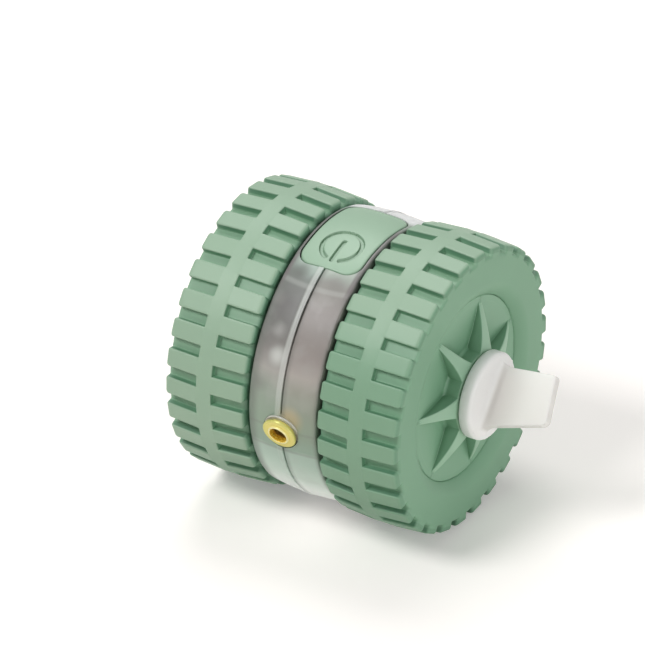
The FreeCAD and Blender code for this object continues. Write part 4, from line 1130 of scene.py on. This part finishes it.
# ---------------------------------------------------------------- laser
def arc_points(x, r, radius, start, end, count=6):
    """Rounding in a profile: centre, radius and angles from forward to outward."""
    out = []
    for t in np.linspace(start, end, count):
        a = math.radians(t)
        out.append((x + radius * math.cos(a), r + radius * math.sin(a)))
    return out


def bezel_shape():
    """Flange with a raised inner lip, a groove behind it, and the tube into the body."""
    profile = [(-1.1, 2.38), (0.2, 2.38)]
    profile += arc_points(0.265, 2.6, 0.22, 270, 360, 5) + arc_points(0.265, 2.72, 0.22, 0, 90, 5)
    profile += [(0.08, 2.94), (0.01, 3.02), (0.0, 3.2), (0.0, 4.3)]
    profile += arc_points(-0.34, 4.41, 0.34, 0, 90, 6)
    profile += arc_points(-0.6, 4.55, 0.2, 90, 180, 4)
    profile += [(-0.8, 4.0), (-0.85, 3.95), (-1.45, 3.95), (-1.5, 3.9), (-1.5, 3.7), (-4.9, 3.7),
                (-5.0, 3.6), (-5.0, 3.02), (-1.1, 3.02)]
    return Shape().revolve(profile, 96, beam_frame)


def collar_shape():
    """Clear ring between the bezel and the shell."""
    profile = [(-1.98, 3.72), (-1.62, 3.72), (-1.55, 3.8), (-1.52, 4.0), (-1.52, 4.7)]
    profile += arc_points(-1.72, 4.75, 0.2, 0, 90, 5) + [(-2.0, 4.95), (-2.1, 4.85), (-2.1, 3.8)]
    return Shape().revolve(profile, 96, beam_frame)


# ---------------------------------------------------------------- build the shown pieces
dress_nodes()
tyre = tyre_shape()
piece("tread_tyre_right", tyre, "wheel_right", "tyre_rubber", "tyre_right")
piece("tread_tyre_left", mirrored(tyre), "wheel_left", "tyre_rubber", "tyre_left")
star = hub_shape()
piece("star_hub_right", star, "wheel_right", "hub_plastic", "hub_right")
piece("star_hub_left", mirrored(star), "wheel_left", "hub_plastic", "hub_left")
plug = combine(mesh_object("soft_tail_plug", disc_shape()), [mesh_object("tab", tab_shape())],
               "UNION")
finish_object(plug, "tail", "plug_rubber", "tail_plug")
for side, word in ((1, "right"), (-1, "left")):
    half = shell_object("case_shell_" + word, side)
    finish_object(half, "core", "shell_plastic", "shell_" + word)
piece("button_cap", button_shape(), "button", "button_plastic", "power_button", sharp=50)
piece("laser_ring", bezel_shape(), "core", "bezel_brass", "laser_bezel", sharp=40)
piece("laser_ring_seat", collar_shape(), "core", "collar_plastic", "laser_collar", sharp=40)

# ---------------------------------------------------------------- stage, light, camera
FLOOR_HALF = 8.0            # metres
FLOOR_LIFT = 0.24           # glow that only looking rays see
WORLD_LIGHT = 0.24
LIGHT_TARGET = (0, 0, 0.03)
CAMERA_AZIMUTH = math.radians(31.2)
CAMERA_ELEVATION = math.radians(31.77)
CAMERA_LENS = 558.1
CAMERA_OFFSET = (-8.85, 7.92, 2558.0)   # right, up and back from the axle, in millimetres


def looking_ray(tree):
    """1 for rays that look at the background: the camera's, reflected and refracted ones."""
    path = tree.nodes.new("ShaderNodeLightPath")
    out = path.outputs["Is Camera Ray"]
    for kind in ("Is Glossy Ray", "Is Transmission Ray"):
        both = tree.nodes.new("ShaderNodeMath")
        both.operation = "MAXIMUM"
        tree.links.new(out, both.inputs[0])
        tree.links.new(path.outputs[kind], both.inputs[1])
        out = both.outputs[0]
    return out


def make_floor():
    """Pale floor, lifted a little for the rays that look at it."""
    f = Finish("studio_floor", Roughness=0.8, Specular_IOR_Level=0.1)
    grain = f.noise(9.0, 2.0)
    f.set("Base Color", f.ramp(grain, [(0.3, srgb(240, 235, 231)), (0.7, srgb(244, 239, 235))]))
    lift = f.node("ShaderNodeMath", {0: looking_ray(f.tree), 1: FLOOR_LIFT}, operation="MULTIPLY")
    glow = f.node("ShaderNodeEmission", {"Color": (1, 1, 1, 1), "Strength": lift.outputs[0]})
    both = f.node("ShaderNodeAddShader", {0: f.shader.outputs[0], 1: glow.outputs[0]})
    f.tree.links.new(both.outputs[0], f.output.inputs["Surface"])
    mesh = bpy.data.meshes.new("studio_floor")
    s = FLOOR_HALF
    mesh.from_pydata([(-s, -s, 0), (s, -s, 0), (s, s, 0), (-s, s, 0)], [], [(0, 1, 2, 3)])
    mesh.materials.append(f.material)
    linked("studio_floor", mesh)


def area_light(name, place, size, power):
    """White round lamp aimed at the toy."""
    data = bpy.data.lights.new(name, "AREA")
    data.shape = "DISK"
    data.size = size
    data.energy = power
    obj = linked(name, data)
    obj.location = place
    aim = Vector(LIGHT_TARGET) - Vector(place)
    obj.rotation_mode = "QUATERNION"
    obj.rotation_quaternion = aim.to_track_quat("-Z", "Y")


def make_world(strength):
    """Dim surround for the light, white where the camera or clear plastic looks at it."""
    world = bpy.data.worlds.new("studio")
    bpy.context.scene.world = world
    world.use_nodes = True
    tree = world.node_tree
    dim = tree.nodes["Background"]
    dim.inputs["Color"].default_value = (1, 1, 1, 1)
    dim.inputs["Strength"].default_value = strength
    white = tree.nodes.new("ShaderNodeBackground")
    white.inputs["Strength"].default_value = 1.0
    mix = tree.nodes.new("ShaderNodeMixShader")
    tree.links.new(looking_ray(tree), mix.inputs["Fac"])
    tree.links.new(dim.outputs[0], mix.inputs[1])
    tree.links.new(white.outputs[0], mix.inputs[2])
    tree.links.new(mix.outputs[0], tree.nodes["World Output"].inputs["Surface"])


def make_camera():
    """Long lens at the photo's angle."""
    azimuth, elevation = CAMERA_AZIMUTH, CAMERA_ELEVATION
    right = Vector((math.cos(azimuth), math.sin(azimuth), 0))
    back = Vector((math.sin(azimuth) * math.cos(elevation),
                   -math.cos(azimuth) * math.cos(elevation), math.sin(elevation)))
    up = back.cross(right)
    data = bpy.data.cameras.new("camera")
    data.sensor_width = 36.0
    data.lens = CAMERA_LENS
    data.clip_start = 0.1
    data.clip_end = 20.0
    obj = linked("camera", data)
    centre = Vector((0, 0, AXLE_HEIGHT)) * MM
    aside, above, away = CAMERA_OFFSET
    place = centre + (right * aside + up * above + back * away) * MM
    turn = Matrix((right, up, back)).transposed().to_4x4()
    obj.matrix_world = Matrix.Translation(place) @ turn
    bpy.context.scene.camera = obj


make_floor()
make_world(WORLD_LIGHT)
area_light("key", (-1.1, -2.1, 2.9), 1.3, 74.0)
area_light("overhead", (-0.8, 1.1, 2.5), 1.8, 33.0)
area_light("fill", (2.9, -0.6, 0.95), 1.8, 29.0)
make_camera()
bpy.context.scene.view_settings.view_transform = "Standard"
